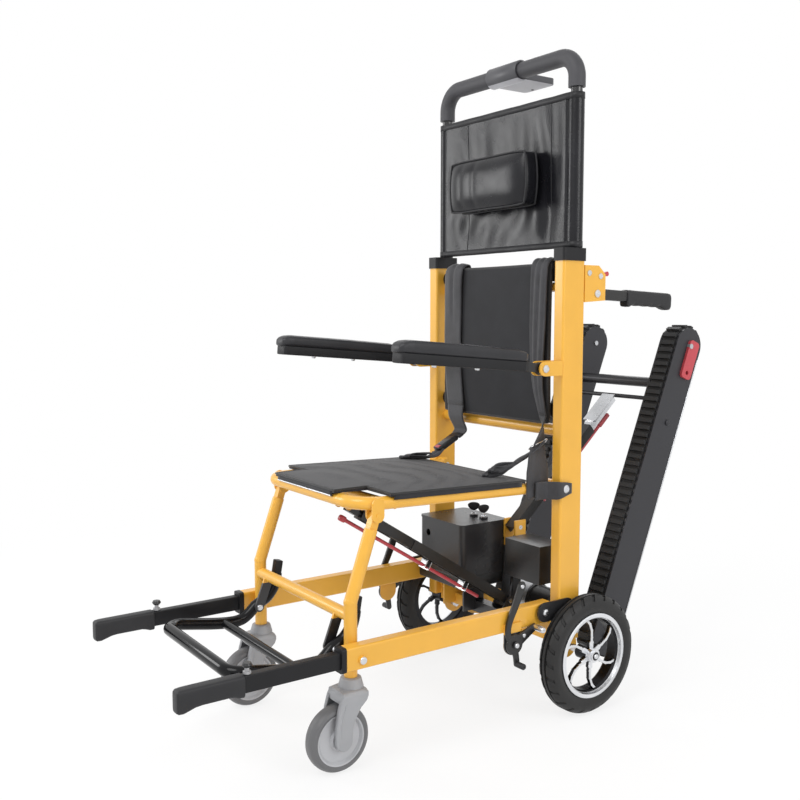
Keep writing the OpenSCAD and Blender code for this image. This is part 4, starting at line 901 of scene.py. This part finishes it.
right_end = Vector((-0.113, 0.166, 0.566))
latch_top = Vector((-0.1145, 0.158, 0.553))
latch_low = Vector((-0.124, 0.1, 0.517))
right_tail = ribbon("right_strap_tail", [right_foot, (-0.118, strap_front - 0.002, 0.594), right_end, latch_top],
                    lambda share: Vector((0.0285 - 0.0085 * share, 0.0, 0.0)), strap_thick, None, webbing)
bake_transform(right_tail)
latch_turn = along_turn(latch_top, latch_low)
latch_way = (latch_low - latch_top).normalized()
for piece, size, far, rise, finish, slot, edge in (
    ("belt_tongue", (0.044, 0.014, 0.006), 0.002, 0.0, moulded_black, "plastic", 0.0024),
    ("belt_latch", (0.031, 0.056, 0.0125), 0.036, 0.0, moulded_black, "plastic", 0.0035),
    ("belt_latch_face", (0.023, 0.034, 0.002), 0.034, 0.006, case_grey, "plastic", 0.0009),
    ("belt_button", (0.02, 0.009, 0.003), 0.0575, 0.0055, latch_red, "red", 0.0012),
):
    rounded_box(piece, size, latch_top + latch_way * far + latch_turn @ Vector((0, 0, rise)), finish, "seat",
                edge, latch_turn)
belt_thick = 0.0024
heap = [(-0.121, 0.108, 0.519), (-0.1235, 0.094, 0.508), (-0.128, 0.082, 0.5035), (-0.138, 0.06, 0.504),
        (-0.147, 0.038, 0.505), (-0.1475, 0.033, 0.5085), (-0.143, 0.05, 0.5105), (-0.132, 0.08, 0.511)]
ribbon("right_lap_belt", heap, lambda share: Vector((0.0175, 0.004, 0.004)), belt_thick, "seat", webbing,
       lambda s, share: 0.0022 * math.sin(6 * s + 11 * share))
slide = Vector((0.18, 0.14, 0.5625))
left_tail = ribbon("left_strap_tail", [left_foot, (0.177, strap_front - 0.006, 0.595), slide],
                   lambda share: Vector((0.01, 0.0, 0.0)).lerp(Vector((0.004, -0.02, -0.003)), share), strap_thick,
                   None, webbing)
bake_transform(left_tail)
left_heap = [slide, (0.177, 0.118, 0.547), (0.168, 0.092, 0.527), (0.157, 0.062, 0.514), (0.149, 0.036, 0.5095),
             (0.1475, 0.03, 0.512), (0.153, 0.05, 0.516), (0.162, 0.08, 0.5225)]
left_belt = ribbon("left_lap_belt", left_heap, lambda share: Vector((0.014, 0.006, 0.012)), belt_thick, "seat",
                   webbing, crumpled)
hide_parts("lap_belts")
sleeve_run = [slide + Vector((0.002, -0.004, -0.002)), (0.1885, 0.128, 0.542), (0.1945, 0.124, 0.523),
              (0.1964, 0.122, 0.5), (0.1965, 0.122, 0.478), (0.1964, 0.122, 0.457)]
sleeve_top, sleeve_half = 0.019, 0.029
ribbon("belt_anchor_sleeve", sleeve_run,
       lambda share: Vector((0.0, sleeve_top + (sleeve_half - sleeve_top) * min(1.0, share * 2), 0.0)), 0.003, "seat",
       webbing, lambda s, share: 0.0003 * math.sin(9 * s + 4 * share))
tab_run = [(0.2035, 0.112, 0.471), (0.2042, 0.138, 0.4705), (0.214, 0.1465, 0.471), (0.2298, 0.1545, 0.4725),
           (0.2305, 0.172, 0.474), (0.2305, 0.1865, 0.4745)]
ribbon("belt_anchor_tab", tab_run, lambda share: Vector((0.0, 0.0, 0.0185 - 0.008 * max(0.0, share - 0.55) / 0.45)),
       strap_thick, "frame", webbing)
slide_lean = Vector((0.0, 0.022, 0.006))
slide_turn = along_turn(slide + slide_lean, slide - slide_lean, math.radians(40.0))
for bar, size, away in (("front", (0.0032, 0.047, 0.0032), Vector((-0.005, 0.0, 0.002))),
                        ("rear", (0.0032, 0.047, 0.0032), Vector((0.005, 0.0, 0.002))),
                        ("low", (0.013, 0.0032, 0.0032), Vector((0.0, -0.0225, 0.002))),
                        ("high", (0.013, 0.0032, 0.0032), Vector((0.0, 0.0225, 0.002)))):
    rounded_box("belt_slide_" + bar, size, slide + slide_turn @ away, zinc, "seat", 0.0012, slide_turn)

# Seat strut: a folded black channel over the sliding rod, and under it the red release rod, which runs
# in two plated clips with a black block between each pair.
strut_place = hinged((0.0, 0.209021, 0.178), 58.006)
strut_turn = strut_place.to_3x3().to_4x4()
cover_start = 0.3195
cover_end = 0.468
cover_half = 0.0139
cover_deep = 0.0219
cover_wall = 0.0028
bm = block((2 * cover_half, cover_deep, cover_end - cover_start))
bmesh.ops.translate(bm, verts=bm.verts, vec=(0.0, 0.0, (cover_start + cover_end) / 2))
under = [f for f in bm.faces if f.normal.y < -0.9]
bmesh.ops.inset_region(bm, faces=under, thickness=cover_wall)
bmesh.ops.translate(bm, verts=under[0].verts, vec=(0.0, cover_deep - cover_wall, 0.0))
bevelled(bm, sharp(bm), 0.0007, 2)
bm.transform(strut_place)
shown(bm, "seat_strut_cover", sheet_black, "seat_stay_rod")
rod_drop = -0.026
rod_line = [strut_place @ Vector((0.0, rod_drop, z)) for z in (0.08, 0.12, 0.2, 0.3, 0.4, 0.5)]
release_rod = along(rod_line, 0.004, "release_rod", latch_red, "seat_release")
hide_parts("seat_release_bar")
for clip_name, clip_z in (("low", 0.135), ("high", 0.255)):
    rounded_box("release_block_" + clip_name, (0.016, 0.0125, 0.0105), strut_place @ Vector((0.0, -0.0195, clip_z)),
                moulded_black, "seat_release", 0.0012, strut_turn)
    for side, tag in ((-1, "rear"), (1, "front")):
        rounded_box("release_clip_%s_%s" % (clip_name, tag), (0.022, 0.0195, 0.0018),
                    strut_place @ Vector((0.0, -0.0222, clip_z + side * 0.0062)), zinc, "seat_release",
                    0.0006, strut_turn)
rounded_box("release_knob", (0.013, 0.013, 0.016), strut_place @ Vector((0.0, rod_drop, 0.5)), latch_red,
            "seat_release", 0.004, strut_turn)

# Track strut: its ears on the frame carry a yellow bracket plate each, screwed on over the pivot pin.
# The plates stay with the frame.
for side, tag in both_sides:
    rounded_box("strut_bracket_" + tag, (0.0052, 0.032, 0.044), Vector((side * 0.0181, 0.2372, 0.3405)), powder_yellow,
                "frame", 0.0008)

# Keys of the battery box: a plated lock barrel with a flat ring, the blade, and a black moulded bow that
# flares towards its top; the sitter's left key turns the drive on, the other one locks the battery.


def key(name, node, body, place, turn):
    """A key in its barrel, turned by an angle about the barrel."""
    upright = Matrix.Translation(place) @ Matrix.Rotation(turn, 4, "Z")
    bm = bmesh.new()
    for radius, low, high in ((0.0058, -0.004, 0.012), (0.0095, 0.005, 0.0072)):
        bmesh.ops.create_cone(bm, cap_ends=True, segments=32, radius1=radius, radius2=radius, depth=high - low,
                              matrix=Matrix.Translation((0.0, 0.0, (low + high) / 2)))
    bm.transform(upright)
    shown(bm, name + "_barrel", zinc, body)
    rounded_box(name + "_blade", (0.0022, 0.007, 0.009), upright @ Vector((0.0, 0.0, 0.0155)), zinc, body,
                0.0005, upright.to_3x3().to_4x4())
    bm = bmesh.new()
    bmesh.ops.create_circle(bm, cap_ends=True, segments=48, radius=1.0)
    for v in bm.verts:
        angle = math.atan2(v.co.y, v.co.x)
        flare = 1 + 0.3 * math.sin(angle)
        v.co = Vector((0.0, 0.0135 * flare * math.cos(angle), 0.0285 + 0.0098 * math.sin(angle)))
    pulled(bm, list(bm.faces), (bow_thick, 0.0, 0.0))
    bmesh.ops.translate(bm, verts=bm.verts, vec=(-bow_thick / 2, 0.0, 0.0))
    bmesh.ops.recalc_face_normals(bm, faces=bm.faces)
    bevelled(bm, sharp(bm), 0.0014, 3)
    bm.transform(upright)
    bow = shown(bm, name + "_bow", moulded_black, body)
    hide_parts(node)


lid_top = 0.354
lock_y = 0.189021
bow_thick = 0.0052
key("drive_key", "ignition_key", "key_switch", Vector((-0.09, lock_y, lid_top)), math.radians(-38.0))
key("case_key", "battery_key", "battery_lock", Vector((-0.054, lock_y, lid_top)), math.radians(-8.0))

# Hand control: a flat moulded housing behind the push bar, with a well for the rocker, and a sleeve in one
# with it that grips the foam. Their undersides are painted pale grey: a painted reflection of the white floor.


def turned(profile, centre, steps=48, side=1):
    """A closed profile of (x, radius) points spun about an axle along X, x running to a side."""
    bm = bmesh.new()
    ring = [bm.verts.new((centre.x + side * x, centre.y, centre.z + radius)) for x, radius in profile]
    edges = [bm.edges.new((ring[i], ring[(i + 1) % len(ring)])) for i in range(len(ring))]
    bmesh.ops.spin(bm, geom=ring + edges, cent=centre, axis=(1.0, 0.0, 0.0), angle=2 * math.pi, steps=steps,
                   use_merge=True)
    bmesh.ops.remove_doubles(bm, verts=bm.verts, dist=1e-6)
    bmesh.ops.recalc_face_normals(bm, faces=bm.faces)
    return bm


def spun(name, profile, centre, finish, body, side=1):
    """A turned piece."""
    return shown(turned(profile, centre, side=side), name, finish, body)


def stud(name, place, turn, radius, height, finish, body):
    """A screw or bolt head whose rim is rounded, standing up along the turned Z."""
    bm = bmesh.new()
    bmesh.ops.create_cone(bm, cap_ends=True, segments=28, radius1=radius, radius2=radius * 0.86, depth=height,
                          matrix=Matrix.Translation((0.0, 0.0, height / 2)))
    crown = [e for e in bm.edges if min(v.co.z for v in e.verts) > height * 0.9]
    bevelled(bm, crown, height * 0.3, 3)
    bm.transform(Matrix.Translation(place) @ turn)
    return shown(bm, name, finish, body)


downwards = Matrix.Rotation(math.pi, 4, "X")
forwards = Matrix.Rotation(math.pi / 2, 4, "X")
leftwards = Matrix.Rotation(math.pi / 2, 4, "Y")
bar_middle = Vector((0.0, 0.201021, 1.356))
housing_half = 0.049
housing_low, housing_high = 1.3385, 1.353
housing_rear = 0.3005
housing_front = bar_middle.y + 0.008
well_middle = Vector((0.0, 0.269521, housing_high))
well_half = Vector((0.0164, 0.0205, 0.0))
bm = block((2 * housing_half, housing_rear - housing_front, housing_high - housing_low))
bmesh.ops.translate(bm, verts=bm.verts,
                    vec=(0.0, (housing_rear + housing_front) / 2, (housing_low + housing_high) / 2))
bevelled(bm, [e for e in bm.edges if e.calc_length() < 0.03], 0.012, 5)
bevelled(bm, sharp(bm), 0.0016, 2)
for side in (-1, 1):
    for way in (Vector((1.0, 0.0, 0.0)), Vector((0.0, 1.0, 0.0))):
        cut = well_middle + way * side * well_half.dot(way)
        bmesh.ops.bisect_plane(bm, geom=list(bm.verts) + list(bm.edges) + list(bm.faces), plane_co=cut, plane_no=way)
well = [f for f in bm.faces if f.normal.z > 0.9 and (f.calc_center_median() - well_middle).length < 0.004]
bmesh.ops.inset_region(bm, faces=well, thickness=0.0003, depth=-0.0075)
control = shown(bm, "hand_control", control_grey, "push_handle")
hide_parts("control_box")
sleeve_half_profile = [(-0.0475, 0.0178), (-0.049, 0.019), (-0.049, 0.0214), (-0.0475, 0.0226)]
sleeve_profile = sleeve_half_profile + [(-x, radius) for x, radius in reversed(sleeve_half_profile)]
spun("hand_control_sleeve", sleeve_profile, bar_middle, control_grey, "push_handle")
stud("hand_control_screw", Vector((-0.014, 0.289, housing_low + 0.0002)), downwards, 0.0032, 0.0012, moulded_black,
     "push_handle")
# Painted reflection: below the housing's lower face the grey of housing and sleeve turns pale, as if lit from the
# floor.
repaint(control_grey, (0.42, 0.42, 0.45), further(control_grey.node_tree, "Z", housing_low + 0.0004, False))

# Armrests: a smooth skinned pad with a rounded nose on a moulded tray, screwed on from below, and a
# steel arm with the hinge barrel that turns in the fork of the post.


def lofted(name, profile, place, finish, body, square=4.5, angle=42.0, middle=0.0):
    """A moulding along Y with rounded sections: y, half width, lowest and highest z; middle is its x."""
    bm = bmesh.new()
    bmesh.ops.create_circle(bm, cap_ends=True, segments=36, radius=1.0)
    face = list(bm.faces)
    for _ in profile[1:]:
        face = pulled(bm, face, (0.0, 0.0, 1.0))
    for v in bm.verts:
        y, half, low, high = profile[round(v.co.z)]
        across = math.copysign(abs(v.co.x) ** (2 / square), v.co.x)
        up = math.copysign(abs(v.co.y) ** (2 / square), v.co.y)
        v.co = place @ Vector((middle + half * across, y, (low + high) / 2 + (high - low) / 2 * up))
    bmesh.ops.recalc_face_normals(bm, faces=bm.faces)
    return shown(bm, name, finish, body, angle)


pad_skin = coated("pad_skin", (0.026, 0.026, 0.029), 0.38, 1100.0, 0.0002, 0.1, strength=0.2, shine=0.3)
post_middle = 0.213
pad_out = 0.01
pad_profile = [(-0.3665, 0.011, 0.0125, 0.0215), (-0.3645, 0.0155, 0.011, 0.0265), (-0.36, 0.0188, 0.0105, 0.0305),
               (-0.352, 0.0212, 0.0105, 0.0338), (-0.34, 0.022, 0.0105, 0.0355), (-0.2, 0.022, 0.0105, 0.036),
               (-0.085, 0.022, 0.0105, 0.0348), (-0.068, 0.0208, 0.0105, 0.0325), (-0.061, 0.0175, 0.0108, 0.029),
               (-0.0585, 0.012, 0.012, 0.024)]
tray_profile = [(-0.3615, 0.012, -0.005, 0.0125), (-0.36, 0.0165, -0.0075, 0.0125), (-0.355, 0.0185, -0.008, 0.0125),
                (-0.066, 0.0185, -0.008, 0.0125), (-0.057, 0.0165, -0.008, 0.0125), (-0.053, 0.011, -0.007, 0.0115)]
for side, tag in both_sides:
    body = tag + "_arm"
    hinge = hinged((0.0, 0.112021, 0.724), -4.8)
    middle = side * (post_middle + pad_out)
    pad = lofted(tag + "_armrest_pad", pad_profile, hinge, pad_skin, body, 3.6, middle=middle)
    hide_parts(tag + "_armrest")
    lofted(tag + "_armrest_tray", tray_profile, hinge, moulded_black, body, 9.0, middle=middle)
    arm_profile = [(y, 0.007, -0.008, 0.011) for y in (-0.074, -0.002)]
    lofted(tag + "_armrest_arm", arm_profile, hinge, sheet_black, body, 14.0,
           middle=side * post_middle)
    barrel = [(-0.007, 0.0042), (-0.007, 0.0122), (-0.0062, 0.013), (0.0062, 0.013), (0.007, 0.0122), (0.007, 0.0042)]
    spun(tag + "_armrest_barrel", barrel, hinge @ Vector((side * post_middle, 0.0, 0.0)), sheet_black, body)
    for screw, y in (("front", -0.277), ("rear", -0.1735)):
        stud("%s_armrest_screw_%s" % (tag, screw), hinge @ Vector((middle, y, -0.0078)), downwards, 0.005, 0.004, zinc,
             body)

# Rear handles: a flat black tube from the pivot and a moulded grip with finger notches below, a lug at
# its inner end and a lip at its outer end.
finger_notches = [(0.122 + 0.083 * i / 18, 0.0126, -0.0165 - 0.0026 * abs(math.sin(math.pi * i / 6)), 0.0138)
                  for i in range(19)]
rear_grip = ([(0.0975, 0.0105, -0.0195, 0.0122), (0.099, 0.0124, -0.022, 0.0138), (0.107, 0.0126, -0.0225, 0.0142),
              (0.114, 0.0126, -0.0192, 0.0138)] + finger_notches
             + [(0.2125, 0.0126, -0.0195, 0.0138), (0.2215, 0.0126, -0.0226, 0.0138), (0.229, 0.0126, -0.0238, 0.0138),
                (0.2365, 0.012, -0.0232, 0.0128), (0.2405, 0.0098, -0.0205, 0.0098), (0.242, 0.0065, -0.017, 0.006)])
rear_tube = [(-0.009, 0.0085, -0.009, 0.009), (-0.006, 0.0092, -0.0115, 0.0115), (0.104, 0.0092, -0.0115, 0.0115)]
for side, tag in both_sides:
    body = tag + "_grip"
    pivot = hinged((side * post_middle, 0.255021, 0.876), -2.5)
    grip = lofted(tag + "_rear_grip", rear_grip, pivot, grip_black, body, 4.5, 30.0)
    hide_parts(tag + "_rear_handle")
    lofted(tag + "_rear_handle_tube", rear_tube, pivot, sheet_black, body, 8.0)

# Carry handles: a square black tube that slides in the rail, with a smooth moulded grip whose outer end
# has a lip below and whose inner end has a lug.
carry_grip = [(-0.672, 0.0065, -0.0175, 0.0095), (-0.6712, 0.0098, -0.0215, 0.0135), (-0.668, 0.0118, -0.0238, 0.0156),
              (-0.66, 0.0126, -0.024, 0.0164), (-0.65, 0.0126, -0.021, 0.0165), (-0.64, 0.0126, -0.0178, 0.0165),
              (-0.628, 0.0126, -0.0166, 0.0165), (-0.578, 0.0126, -0.0166, 0.0168), (-0.57, 0.0126, -0.0185, 0.0168),
              (-0.562, 0.0126, -0.0215, 0.0168), (-0.5545, 0.0126, -0.0215, 0.0168), (-0.553, 0.0118, -0.0208, 0.016),
              (-0.5525, 0.0098, -0.019, 0.0154)]
carry_tube = [(-0.65, 0.009, -0.015, 0.015), (-0.176, 0.009, -0.015, 0.015)]
rail_middle = 0.209
carry_z = 0.2185
for side, tag in both_sides:
    body = tag + "_carry"
    rail = Matrix.Translation((side * rail_middle, 0.0, carry_z))
    grip = lofted(tag + "_carry_grip", carry_grip, rail, grip_black, body, 5.5, 34.0)
    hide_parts(tag + "_carry_handle")
    lofted(tag + "_carry_tube", carry_tube, rail, moulded_black, body, 14.0)

# Footrest: one bent black tube with a second cross tube, its arms dipping under the legs' cross bar to a
# rubber stop block behind it, hung on a bolt through the ear of each leg.
foot_pivot = Vector((0.0, -0.346979, 0.222))
foot_half = 0.1568
foot_tube = 0.012
foot_black = coated("foot_black", (0.006, 0.006, 0.007), 0.13, 700.0, 0.0001, 0.1, strength=0.1, shine=0.2)
foot_nose = -0.202
foot_corner = 0.036
foot_front_z = -0.009
arm_side = [(0.049, 0.062), (0.0468, 0.05), (0.04, 0.031), (0.024, 0.0125), (0.0, 0.0), (-0.016, -0.014),
            (-0.034, -0.0243), (-0.06, -0.0262), (-0.1, -0.0212), (-0.13, -0.0157),
            (foot_nose + foot_corner, foot_front_z)]
half_run = smooth([foot_pivot + Vector((foot_half, y, z)) for y, z in arm_side], 4)
corner_steps = 8
for step in range(1, corner_steps + 1):
    turn = math.radians(90.0 * step / corner_steps)
    half_run.append(foot_pivot + Vector((foot_half - foot_corner * (1 - math.cos(turn)),
                                         foot_nose + foot_corner * (1 - math.sin(turn)),
                                         foot_front_z + 0.004 * step / corner_steps)))
other_half = [Vector((-spot.x, spot.y, spot.z)) for spot in reversed(half_run)]
footrest = along(half_run + other_half, foot_tube, "footrest_tube", foot_black, "foot", fine=5)
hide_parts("footrest")
cross = [foot_pivot + Vector((x, -0.074, -0.0245)) for x in (-foot_half, foot_half)]
along(cross, 0.0094, "footrest_cross_tube", foot_black, "foot", fine=5)
ear_inner_x = 0.1392


def outward(side):
    """The turn that points a stud to a side."""
    return leftwards if side > 0 else leftwards.inverted()


for side, tag in both_sides:
    rounded_box("footrest_stop_" + tag, (0.019, 0.015, 0.052), foot_pivot + Vector((side * foot_half, 0.0492, 0.064)),
                moulded_black, "foot", 0.002, Matrix.Rotation(math.radians(-10.0), 4, "X"))
    for where, away, way in (("outer", foot_half + foot_tube - 0.0006, 1), ("inner", ear_inner_x, -1)):
        stud("footrest_bolt_%s_%s" % (where, tag), foot_pivot + Vector((side * away, 0.0, 0.0)), outward(side * way),
             0.0068, 0.0046, zinc, "foot")

# Casters: each fork is one grey moulding, a crown with the swivel hub on top and two hollow cheeks that
# sweep down over the ends of the axle.
fork_grey = coated("fork_grey", (0.33, 0.335, 0.35), 0.42, 900.0, 0.0003, 0.05)
dress(fork_grey, "left_caster_fork", "right_caster_fork")
stem_y = -0.322979
axle_y = -0.352979
axle_z = 0.0625
cheek_round = 0.0168
cheek_line = [(-0.3345, 0.083), (-0.3285, 0.104), (-0.318, 0.12), (-0.305, 0.1315), (-0.3015, 0.14), (-0.3015, 0.149),
              (-0.352, 0.149), (-0.3575, 0.139), (-0.364, 0.117), (-0.3688, 0.09)]
for step in range(13):
    turn = math.radians(172.0 + 196.0 * step / 12)
    cheek_line.append((axle_y + cheek_round * math.cos(turn), axle_z + cheek_round * math.sin(turn)))
crown_profile = [(-0.3575, 0.022, 0.1315, 0.1485), (-0.3545, 0.0272, 0.129, 0.1525), (-0.335, 0.0288, 0.1285, 0.1545),
                 (-0.312, 0.0288, 0.1285, 0.1545), (-0.303, 0.0262, 0.13, 0.1525), (-0.299, 0.02, 0.1335, 0.149)]
rib_line = [(-0.3505, 0.132), (-0.3575, 0.11), (-0.3612, 0.088), (-0.3615, 0.072)]
stem_x = 0.182
cheek_out = 0.0286
cheek_deep = 0.0098
for side, tag in both_sides:
    body = tag + "_fork"
    caster_x = side * stem_x
    crown = lofted(tag + "_fork_crown", crown_profile, Matrix.Identity(4), fork_grey, body, 5.0,
                   middle=caster_x)
    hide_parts(tag + "_caster_fork")
    bm = bmesh.new()
    bmesh.ops.create_cone(bm, cap_ends=True, segments=40, radius1=0.0245, radius2=0.019, depth=0.0205,
                          matrix=Matrix.Translation((caster_x, stem_y, 0.16145)))
    bevelled(bm, sharp(bm), 0.003, 3)
    shown(bm, tag + "_fork_hub", fork_grey, body)
    for way, cheek_tag in ((1, "outer"), (-1, "inner")):
        bm = bmesh.new()
        outer = bm.faces.new([bm.verts.new((caster_x + way * side * cheek_out, y, z)) for y, z in cheek_line])
        open_side = pulled(bm, [outer], (-way * side * cheek_deep, 0.0, 0.0))
        bmesh.ops.delete(bm, geom=open_side, context="FACES_ONLY")
        bmesh.ops.recalc_face_normals(bm, faces=bm.faces)
        bevelled(bm, sharp(bm), 0.0032, 4)
        cheek = shown(bm, "%s_fork_cheek_%s" % (tag, cheek_tag), fork_grey, body, 30.0)
        thicken(cheek, 0.0014)
        rib = smooth([Vector((caster_x + way * side * (cheek_out + 0.0006), y, z)) for y, z in rib_line])
        along(rib, 0.0011, "%s_fork_rib_%s" % (tag, cheek_tag), fork_grey, body)

# Battery pan: the battery stands in a pan of folded black sheet that hides the legs of its tray.
# The pan stays with the frame.
case_low, case_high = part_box("battery_case")
pan_size = Vector((case_high.x - case_low.x + 0.002, case_high.y - case_low.y + 0.002, 0.027))
pan_place = Vector(((case_low.x + case_high.x) / 2, (case_low.y + case_high.y) / 2, case_low.z - 0.0125))
rounded_box("battery_pan", pan_size, pan_place, sheet_black, "frame", 0.002)

# Controller: a box of folded, painted sheet beside the battery, on a flange that is screwed to the left
# rear post.
box_middle = Vector((0.1115, 0.197, 0.2985))
box_size = Vector((0.111, 0.076, 0.083))
controller = rounded_box("controller", box_size, box_middle, sheet_black, "frame", 0.0012)
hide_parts("controller_box")
rounded_box("controller_flange", Vector((0.0325, 0.004, 0.07)), Vector((0.1822, 0.228, 0.2985)), sheet_black, "frame",
            0.0008)
for place, height in (("low", 0.274), ("high", 0.323)):
    stud("controller_screw_" + place, Vector((0.1835, 0.2262, height)), forwards, 0.0042, 0.002, zinc, "frame")

# Foot brakes: a bent flat lever on a round boss below the rail, an arm with a plated roller that presses
# on the tyre, and a short pedal below.


def cut_plate(name, run, half, x, thick, finish, body):
    """A flat plate cut along a line of (y, z) points, half its width given at each, its ends rounded."""
    line = smooth([Vector((0.0, y, z)) for y, z in run])
    wide = smooth([Vector((0.0, 0.0, h)) for h in half])
    ahead = [(line[min(i + 1, len(line) - 1)] - line[max(i - 1, 0)]).normalized() for i in range(len(line))]
    near = [spot + Vector((0.0, -way.z, way.y)) * width.z for spot, way, width in zip(line, ahead, wide)]
    far = [spot - Vector((0.0, -way.z, way.y)) * width.z for spot, way, width in zip(line, ahead, wide)]
    caps = []
    for spot, way, width in ((line[-1], ahead[-1], wide[-1].z), (line[0], -ahead[0], wide[0].z)):
        side = Vector((0.0, -way.z, way.y))
        caps.append([spot + (side * math.cos(a) + way * math.sin(a)) * width
                     for a in [math.pi * k / 10 for k in range(1, 10)]])
    bm = bmesh.new()
    outline = near + caps[0] + far[::-1] + caps[1]
    flat = bm.faces.new([bm.verts.new(spot + Vector((x, 0.0, 0.0))) for spot in outline])
    pulled(bm, [flat], (thick, 0.0, 0.0))
    bmesh.ops.recalc_face_normals(bm, faces=bm.faces)
    bevelled(bm, sharp(bm), 0.0009, 2)
    return shown(bm, name, finish, body, 35.0)


brake_y, brake_z = 0.034021, 0.172
brake_x = 0.2264
plate_thick = 0.0058
lever_run = [(0.0525, 0.2895), (0.046, 0.273), (0.0355, 0.25), (0.0235, 0.226), (0.0175, 0.206), (0.0195, 0.188),
             (0.0265, 0.178)]
lever_half = [0.0092, 0.0088, 0.008, 0.007, 0.0064, 0.0066, 0.008]
arm_run = [(brake_y + 0.012, brake_z + 0.006), (0.0585, 0.1845), (0.0879, 0.1983)]
arm_half = [0.012, 0.0105, 0.0072]
pedal_run = [(0.0365, 0.158), (0.0395, 0.145), (0.0415, 0.13)]
pedal_half = [0.007, 0.0062, 0.0062]
boss_profile = [(0.0, 0.0045), (0.0, 0.0208), (0.0054, 0.0208), (0.0066, 0.0196), (0.0066, 0.0045)]
roller_profile = [(0.0058, 0.001), (0.0058, 0.0063), (0.03, 0.0063), (0.032, 0.005), (0.032, 0.001)]
pedal_profile = [(0.0058, 0.001), (0.0058, 0.0062), (0.024, 0.0062), (0.0255, 0.005), (0.0255, 0.001)]
for side, tag in both_sides:
    body = tag + "_brake"
    inner = side * brake_x
    thick = side * plate_thick
    lever = cut_plate(tag + "_brake_hand_lever", lever_run, lever_half, inner, side * 0.0056, sheet_black, body)
    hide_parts(tag + "_brake_lever")
    spun(tag + "_brake_boss", boss_profile, Vector((inner, brake_y, brake_z)), sheet_black, body, side)
    cut_plate(tag + "_brake_arm", arm_run, arm_half, inner, thick, sheet_black, body)
    spun(tag + "_brake_roller", roller_profile, Vector((inner, 0.087921, 0.1983)), zinc, body, side)
    cut_plate(tag + "_brake_pedal_arm", pedal_run, pedal_half, inner, thick, sheet_black, body)
    spun(tag + "_brake_pedal", pedal_profile, Vector((inner, 0.0415, 0.13)), grip_black, body, side)
    for screw, y, z in (("top", 0.0522, 0.2885), ("arm", 0.0585, 0.1865)):
        stud("%s_brake_screw_%s" % (tag, screw), Vector((inner + side * 0.0055, y, z)), outward(side), 0.0044, 0.0022,
             zinc, body)
    stud(tag + "_brake_screw_pivot", Vector((side * 0.2391, brake_y, brake_z)), outward(side), 0.0052, 0.0016, zinc,
         "rails")

# Track edge strips: a bright zinc strip along the rear edge of each track's outer side plate, standing in
# for the highlight that catches that edge. It swings out with the tracks.
track_place = hinged((0.0, 0.362021, 0.108), -21.8)
for side, tag in both_sides:
    # Each strip stands in for a highlight: a bright metal edge where the plate catches the light.
    rounded_box("track_edge_highlight_" + tag, (0.0016, 0.0032, 0.66), track_place @ Vector((side * 0.1746, 0.0412, 0.35)), zinc,
                "tracks", 0.0006, track_place.to_3x3().to_4x4())

# Rear tyres: solid black rubber with smooth side walls, two grooves round the tread and slanting
# grooves moulded into both shoulders.


def tyre(name, node, body):
    """A tyre spun from its profile, with grooves pressed into the shoulders and then slanted."""
    low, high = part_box(node)
    mid = (low + high) / 2
    r = (high.z - low.z) / 2
    h = (high.x - low.x) / 2
    ri = r - 0.0358
    half = [(h - 0.004, ri), (h - 0.001, ri + 0.006), (h, ri + 0.016), (h - 0.002, r - 0.010), (h - 0.007, r - 0.004),
            (h - 0.011, r - 0.001), (0.008, r), (0.007, r - 0.004), (0.004, r - 0.004), (0.003, r)]
    steps = 168
    bm = turned(half + [(-away, radius) for away, radius in reversed(half)], mid, steps)
    grooves = []
    for f in bm.faces:
        spot = f.calc_center_median() - mid
        radius = math.hypot(spot.y, spot.z)
        at = math.floor((math.atan2(spot.z, spot.y) + math.pi) / (2 * math.pi) * steps)
        if r - 0.0075 < radius < r and abs(spot.x) > 0.0085 and at % 7 < 2:
            grooves.append(f)
    bmesh.ops.inset_region(bm, faces=grooves, thickness=0.0005, depth=-0.0028, use_even_offset=True)
    for v in bm.verts:
        away = abs(v.co.x - mid.x)
        if math.hypot(v.co.y - mid.y, v.co.z - mid.z) > r - 0.012:
            v.co = mid + Matrix.Rotation(7.0 * (away - h), 3, "X") @ (v.co - mid)
    made = shown(bm, name, tyre_rubber, body, 32.0)
    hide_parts(node)


tyre("left_tread_tyre", "left_tyre", "left_wheel")
tyre("right_tread_tyre", "right_tyre", "right_wheel")

# Bolts seen from the side: a dark ring and a plated bolt on the hub of each rear wheel, and the plated
# head that closes the leg's pin on each rail.
for side, tag in both_sides:
    hub = Vector((side * rim_high.x, rim_mid.y, rim_mid.z))
    stud(tag + "_wheel_ring", hub, outward(side), 0.009, 0.0008, moulded_black, tag + "_wheel")
    stud(tag + "_wheel_bolt", hub + Vector((side * 0.0006, 0.0, 0.0)), outward(side), 0.0056, 0.0024, zinc,
         tag + "_wheel")
for side, tag in both_sides:
    stud("rail_bolt_" + tag, Vector((side * 0.2268, stem_y, 0.214)), outward(side), 0.0072, 0.0016, zinc, "rails")
